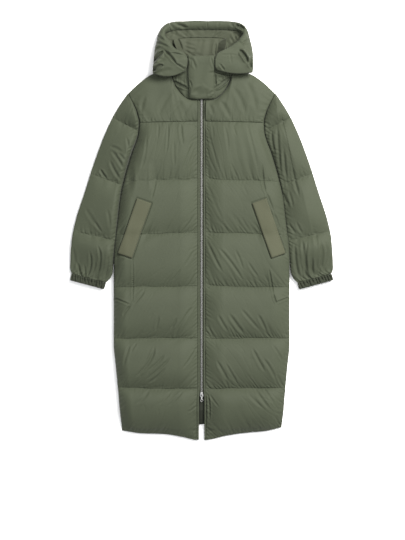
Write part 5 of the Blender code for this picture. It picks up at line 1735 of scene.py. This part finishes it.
def placket(side):
    """The stitched strip beside the zip, from the hem to the neck seam."""
    profile = ((0, -2.5), (0.06, -1.3), (0.16, -0.5), (0.4, 0), (0.68, 0), (0.9, -0.8), (1, -2.5))
    across = np.linspace(0, 1, 11)
    y = np.linspace(NECK_Y - 0.5, -724.5, 440)[:, None]
    tall = PLACKET_TOP - 4.0 * (1 - ease((y + 724.5) / 9.0))
    cross = np.interp(across, *np.transpose(profile))
    ripple = grain((len(y), len(across)), (2.7, 0.8), 8, 9, 3.0, 153 if side == "left" else 154)
    x = ZIP_HALF + slit_more(y) + PLACKET * across
    sunk = 0.55 * bell((across - 0.62) / 0.1)
    z = lay_over(y, tall) + cross + 0.28 * ripple * np.sin(np.pi * across) - sunk
    outer = np.stack([SIGN[side] * x, y + 0 * z, z], -1)
    inner = np.dstack([outer[..., :2], parting(y) + SEAM_GAP + 0 * z])
    made = wall(f"placket_{side}.cloth", outer, inner, "shell_fabric", coarse=4)
    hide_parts(f"placket_{side}")
    return outer


plackets = {side: placket(side) for side in SIGN}


def zip_tape(side):
    """The woven tape, with a thick edge under the teeth."""
    x = np.linspace(SEAM_GAP / 2, ZIP_HALF - SEAM_GAP, 13)[None, :]
    y = np.linspace(SLIDER["y"] - 0.4 * SLIDER["length"], 602.0, 151)[:, None]
    rib = 0.1 * np.cos((x - 5.6) * 2 * np.pi / 1.6) * (x > 4.2)
    top = zip_height(y) + TAPE[1] - 0.1 + rib
    low = zip_height(y) + TAPE[0] + 0 * top
    faces = [np.dstack([SIGN[side] * x + 0 * top, y + 0 * top, z]) for z in (top, low)]
    made = wall(f"zip_tape_{side}.woven", *faces, "zip_tape", coarse=3)
    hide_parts(f"zip_tape_{side}")


def zip_teeth(side):
    """Single metal teeth: two legs on the tape's edge and a head that locks past the middle."""
    pitch = 2.5
    half = [(3.3, 0.68), (1.5, 0.68), (0.9, 0.45), (-0.1, 0.85), (-0.9, 0.5)]
    outline = np.array(half + [(x, -y) for x, y in half[::-1]])
    centre = np.array([1.5, 0.0])
    first = SLIDER["y"] - 0.3 * SLIDER["length"] + (0 if side == "left" else pitch / 2)
    teeth = []
    for y in np.arange(first, 601.0, pitch):
        at, rings = float(zip_height(y)), []
        for level, size in ((TEETH[0], 1.0), (TEETH[1] - 0.4, 1.0), (TEETH[1], 0.78)):
            x_at, y_at = (centre + (outline - centre) * size).T
            rings.append(np.column_stack([SIGN[side] * x_at, y + y_at, np.full(len(x_at), at + level)]))
        teeth.append(np.array(rings))
    made = tube(f"zip_teeth_{side}.metal", teeth, "zip_metal", smooth=False)
    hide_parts(f"zip_teeth_{side}")


for side in SIGN:
    zip_tape(side)
    zip_teeth(side)


def inset_by(points, inset):
    """An outline moved inwards by an inset, square to its sides."""
    before, after = np.roll(points, 1, axis=0), np.roll(points, -1, axis=0)
    run = after - before
    run /= np.linalg.norm(run, axis=1, keepdims=True)
    turn = 1 if np.sum(points[:, 0] * after[:, 1] - after[:, 0] * points[:, 1]) > 0 else -1
    return points + np.column_stack([-run[:, 1], run[:, 0]]) * turn * inset


def rounded_plate(outline, low, high, edge):
    """Rings of a flat plate with rounded edges, from its underside to its top."""
    rings = []
    for turn in np.linspace(-90, 90, 9):
        plan = inset_by(outline, edge * (1 - math.cos(math.radians(turn))))
        z = ((low + edge) if turn < 0 else (high - edge)) + edge * math.sin(math.radians(turn))
        rings.append(np.column_stack([plan, np.full(len(plan), z)]))
    return np.array(rings)


def bar(path, radius, closed=False):
    """Rings of a round bar along a path."""
    run = np.roll(path, -1, axis=0) - np.roll(path, 1, axis=0) if closed else np.gradient(path, axis=0)
    run /= np.linalg.norm(run, axis=1, keepdims=True)
    flat = np.abs(run[:, 0]) > 0.9
    first = np.cross(run, np.where(flat[:, None], [0, 1.0, 0], [1.0, 0, 0]))
    first /= np.linalg.norm(first, axis=1, keepdims=True)
    second = np.cross(run, first)
    turn = np.linspace(0, 2 * np.pi, 13)[:-1, None]
    return path[:, None] + (first[:, None] * np.cos(turn) + second[:, None] * np.sin(turn)) * radius


def smooth_outline(corners):
    """A closed outline of 48 points with its corners rounded."""
    points = evenly(np.vstack([corners, corners[:1]]), 193)[:-1]
    for _ in range(6):
        points = (np.roll(points, 1, axis=0) + 2 * points + np.roll(points, -1, axis=0)) / 4
    return points[::4]


def zip_slider():
    """The lower slider: two plates, the web between them and an arched bail."""
    half, length, y0 = SLIDER["width"] / 2, SLIDER["length"], SLIDER["y"]
    # share of the half width, share of the length
    right = [(0.62, 0.0), (0.66, 0.14), (0.74, 0.3), (0.95, 0.5), (1.0, 0.62), (1.0, 0.82), (0.72, 1.0)]
    outline = [(half * wide, y0 - length * down) for wide, down in right]
    outline = smooth_outline(np.array(outline + [(-x, y) for x, y in outline[::-1]]))
    low, high = ZIP_HEIGHT - SLIDER["height"] / 2, ZIP_HEIGHT + SLIDER["height"] / 2
    crown = outline.mean(axis=0) + (outline - outline.mean(axis=0)) * 0.55
    web = [(-1.7, 0.47), (1.7, 0.47), (1.7, 0.97), (-1.7, 0.97)]
    web = smooth_outline(np.array([(x, y0 - down * length) for x, down in web]))
    turn = np.linspace(0, np.pi, 21)
    reach, tall = BAIL["length"] / 2 - BAIL["bar"] / 2, BAIL["height"] - BAIL["bar"] / 2
    arch_y = y0 - 0.5 * length + reach * np.cos(turn)
    arch = np.column_stack([0 * turn, arch_y, high - 0.4 + (tall + 0.4) * np.sin(turn) ** 0.6])
    plates = (
        # outline, underside, top, roundness of the edge
        (outline, high - SLIDER["plate"], high, 0.6),
        (crown, high - 0.8, high + 0.35, 0.3),
        (outline, low, low + SLIDER["plate"], 0.6),
        (web, low + 1.0, high - 1.0, 0.2),
    )
    parts = [rounded_plate(*plate) for plate in plates]
    parts += [bar(arch + (x, 0, 0), BAIL["bar"] * 0.56) for x in (-0.66, 0.66)]
    made = tube("zip_slider.metal", parts, "slider_metal", slot="zip_metal")
    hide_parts("zip_slider")


def pull_tab():
    """The pull tab: its pin in the bail, two legs, a waisted plate and a ring."""
    pin, ring, hole = TAB_SIZE["pin"], TAB_SIZE["ring"], TAB_SIZE["ring_hole"]
    y0 = SLIDER["y"] - 0.5 * SLIDER["length"] - BAIL["length"] / 2 + BAIL["bar"] + pin + 0.5
    z0 = ZIP_HEIGHT + SLIDER["height"] / 2 + pin + 0.55
    half, thin = TAB_SIZE["width"] / 2, TAB_SIZE["thick"] / 2
    reach = BAIL["length"] / 2 + 2.6
    leg_x = half - 0.62
    right = [(leg_x - 0.5, y0 - 0.1, z0), (leg_x, y0 - 1.2, z0), (leg_x, y0 - reach - 1, z0)]
    legs = np.array([(-x, y, z) for x, y, z in right[::-1]] + [(0, y0, z0)] + right)
    plate = [(-half, y0 - reach + 0.4), (half, y0 - reach + 0.4), (half, y0 - 11)]
    plate += [(half * 0.66, y0 - 13.6), (-half * 0.66, y0 - 13.6), (-half, y0 - 11)]
    turn = np.linspace(0, 2 * np.pi, 41)[:-1]
    middle, ring_y = (ring + hole) / 2, y0 - TAB_SIZE["length"] + ring
    loop = np.column_stack([middle * np.cos(turn), ring_y + middle * np.sin(turn), z0 + 0 * turn])
    loop = bar(loop, (ring - hole) / 2, closed=True)
    loop[..., 2] = z0 + (loop[..., 2] - z0) * 0.7
    plate = rounded_plate(smooth_outline(np.array(plate)), z0 - thin, z0 + thin, 0.45)
    parts = [bar(evenly(legs, 40), 0.62), plate, loop]
    made = tube("pull_tab.metal", parts, "slider_metal", closed=(2,), body=TAB, slot="zip_metal")
    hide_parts("pull_tab")


zip_slider()
pull_tab()


# ---------------------------------------------------------------- stitching
def stitches(name, lines):
    """Rows of single stitches. Each is a short thread that dips into the cloth at both ends."""
    stacks = []
    turn = np.linspace(0, 2 * np.pi, 5)[:-1, None]
    for line in lines:
        reach = reach_of(line)
        at = np.arange(STITCH["pitch"] / 2, reach[-1] - STITCH["pitch"] / 2, STITCH["pitch"])
        centre = line_at(line, reach, at)
        run = line_at(line, reach, at + 0.8) - centre
        run /= np.linalg.norm(run, axis=1, keepdims=True)
        across = np.cross(run, [0, 0, 1.0])
        across /= np.linalg.norm(across, axis=1, keepdims=True)
        up = np.cross(across, run)
        round_it = np.cos(turn) * across[:, None] + np.sin(turn) * up[:, None]
        rings = []
        for t in (-0.5, 0.0, 0.5):
            thick = STITCH["half_thick"] * (1.0 if t == 0 else 0.55)
            middle = centre + run * STITCH["long"] * t + up * (0.34 * math.cos(math.pi * t) - 0.12)
            rings.append(middle[:, None] + thick * round_it)
        stacks.extend(np.stack(rings, axis=1))
    tube(name, stacks, "thread", slot="shell_fabric")


for side in SIGN:
    cloth, seam_rows = fronts[side]
    stitches(f"quilting_{side}.thread", [cloth[r, 6:-8] for r in seam_rows[:-1]])
    stitches(f"placket_{side}_row.thread", [plackets[side][2:-2, 7]])
    welt = welts[side]
    rows = [welt[3:-3, 3], welt[3:-3, -4], welt[3, 3:-3], welt[-4, 3:-3]]
    stitches(f"welt_{side}_rows.thread", rows)
    arm, seam_rows = sleeves[side]
    upper = arm.shape[1] * 40 // 100
    stitches(f"sleeve_{side}_quilting.thread", [arm[r, 4:upper] for r in seam_rows[1:-1]])


# ---------------------------------------------------------------- stage, light, camera
FLOOR = {"half": 6.0, "height": -0.0005}  # metres
LIGHTS = (
    # name, place, size, power, colour
    ("key", (2.05, 2.1, 3.6), (2.3, 2.1), 600, (1.0, 0.98, 0.95)),
    ("fill", (-0.2, -0.2, 3.6), (2.4, 2.4), 90, (0.97, 0.985, 1.0)),
)
SKY = 0.46  # strength of the even white light from all round
SENSOR = 24.0
LENS = 75.0
VIEW = (0.003, -0.1346, 0.045)  # the point that the camera looks straight down at
VIEW_TALL = 1.863  # height of the frame at that point


def area_light(name, place, size, power, colour):
    """A rectangular lamp that points at the coat's middle."""
    lamp = bpy.data.lights.new(name, "AREA")
    lamp.color = colour
    lamp.shape = "RECTANGLE"
    lamp.size, lamp.size_y = size
    lamp.energy = power
    made = bpy.data.objects.new(name, lamp)
    made.location = place
    made.rotation_euler = (-Vector(place)).to_track_quat("-Z", "Y").to_euler()
    bpy.context.scene.collection.objects.link(made)


def stage():
    """A pale floor, two lamps, an even sky and the camera."""
    scene = bpy.context.scene
    mesh = bpy.data.meshes.new("floor")
    corners = [(x, y, FLOOR["height"]) for x, y in ((-1, -1), (1, -1), (1, 1), (-1, 1))]
    mesh.from_pydata([(FLOOR["half"] * x, FLOOR["half"] * y, z) for x, y, z in corners], [], [(0, 1, 2, 3)])
    pale = bpy.data.materials.new("floor")
    pale.use_nodes = True
    finish = {"Base_Color": (0.93, 0.93, 0.93, 1), "Roughness": 0.9}
    set_inputs(pale.node_tree.nodes["Principled BSDF"], finish)
    mesh.materials.append(pale)
    floor = bpy.data.objects.new("floor", mesh)
    scene.collection.objects.link(floor)
    for light in LIGHTS:
        area_light(*light)
    world = bpy.data.worlds.new("world")
    world.use_nodes = True
    set_inputs(world.node_tree.nodes["Background"], {"Color": (1, 1, 1, 1), "Strength": SKY})
    scene.world = world
    scene.view_settings.view_transform = "Standard"
    scene.view_settings.look = "None"

    lens = bpy.data.cameras.new("camera")
    lens.sensor_fit = "VERTICAL"
    lens.sensor_height = SENSOR
    lens.lens = LENS
    camera = bpy.data.objects.new("camera", lens)
    camera.location = (*VIEW[:2], VIEW[2] + VIEW_TALL * LENS / SENSOR)
    scene.collection.objects.link(camera)
    scene.camera = camera


stage()
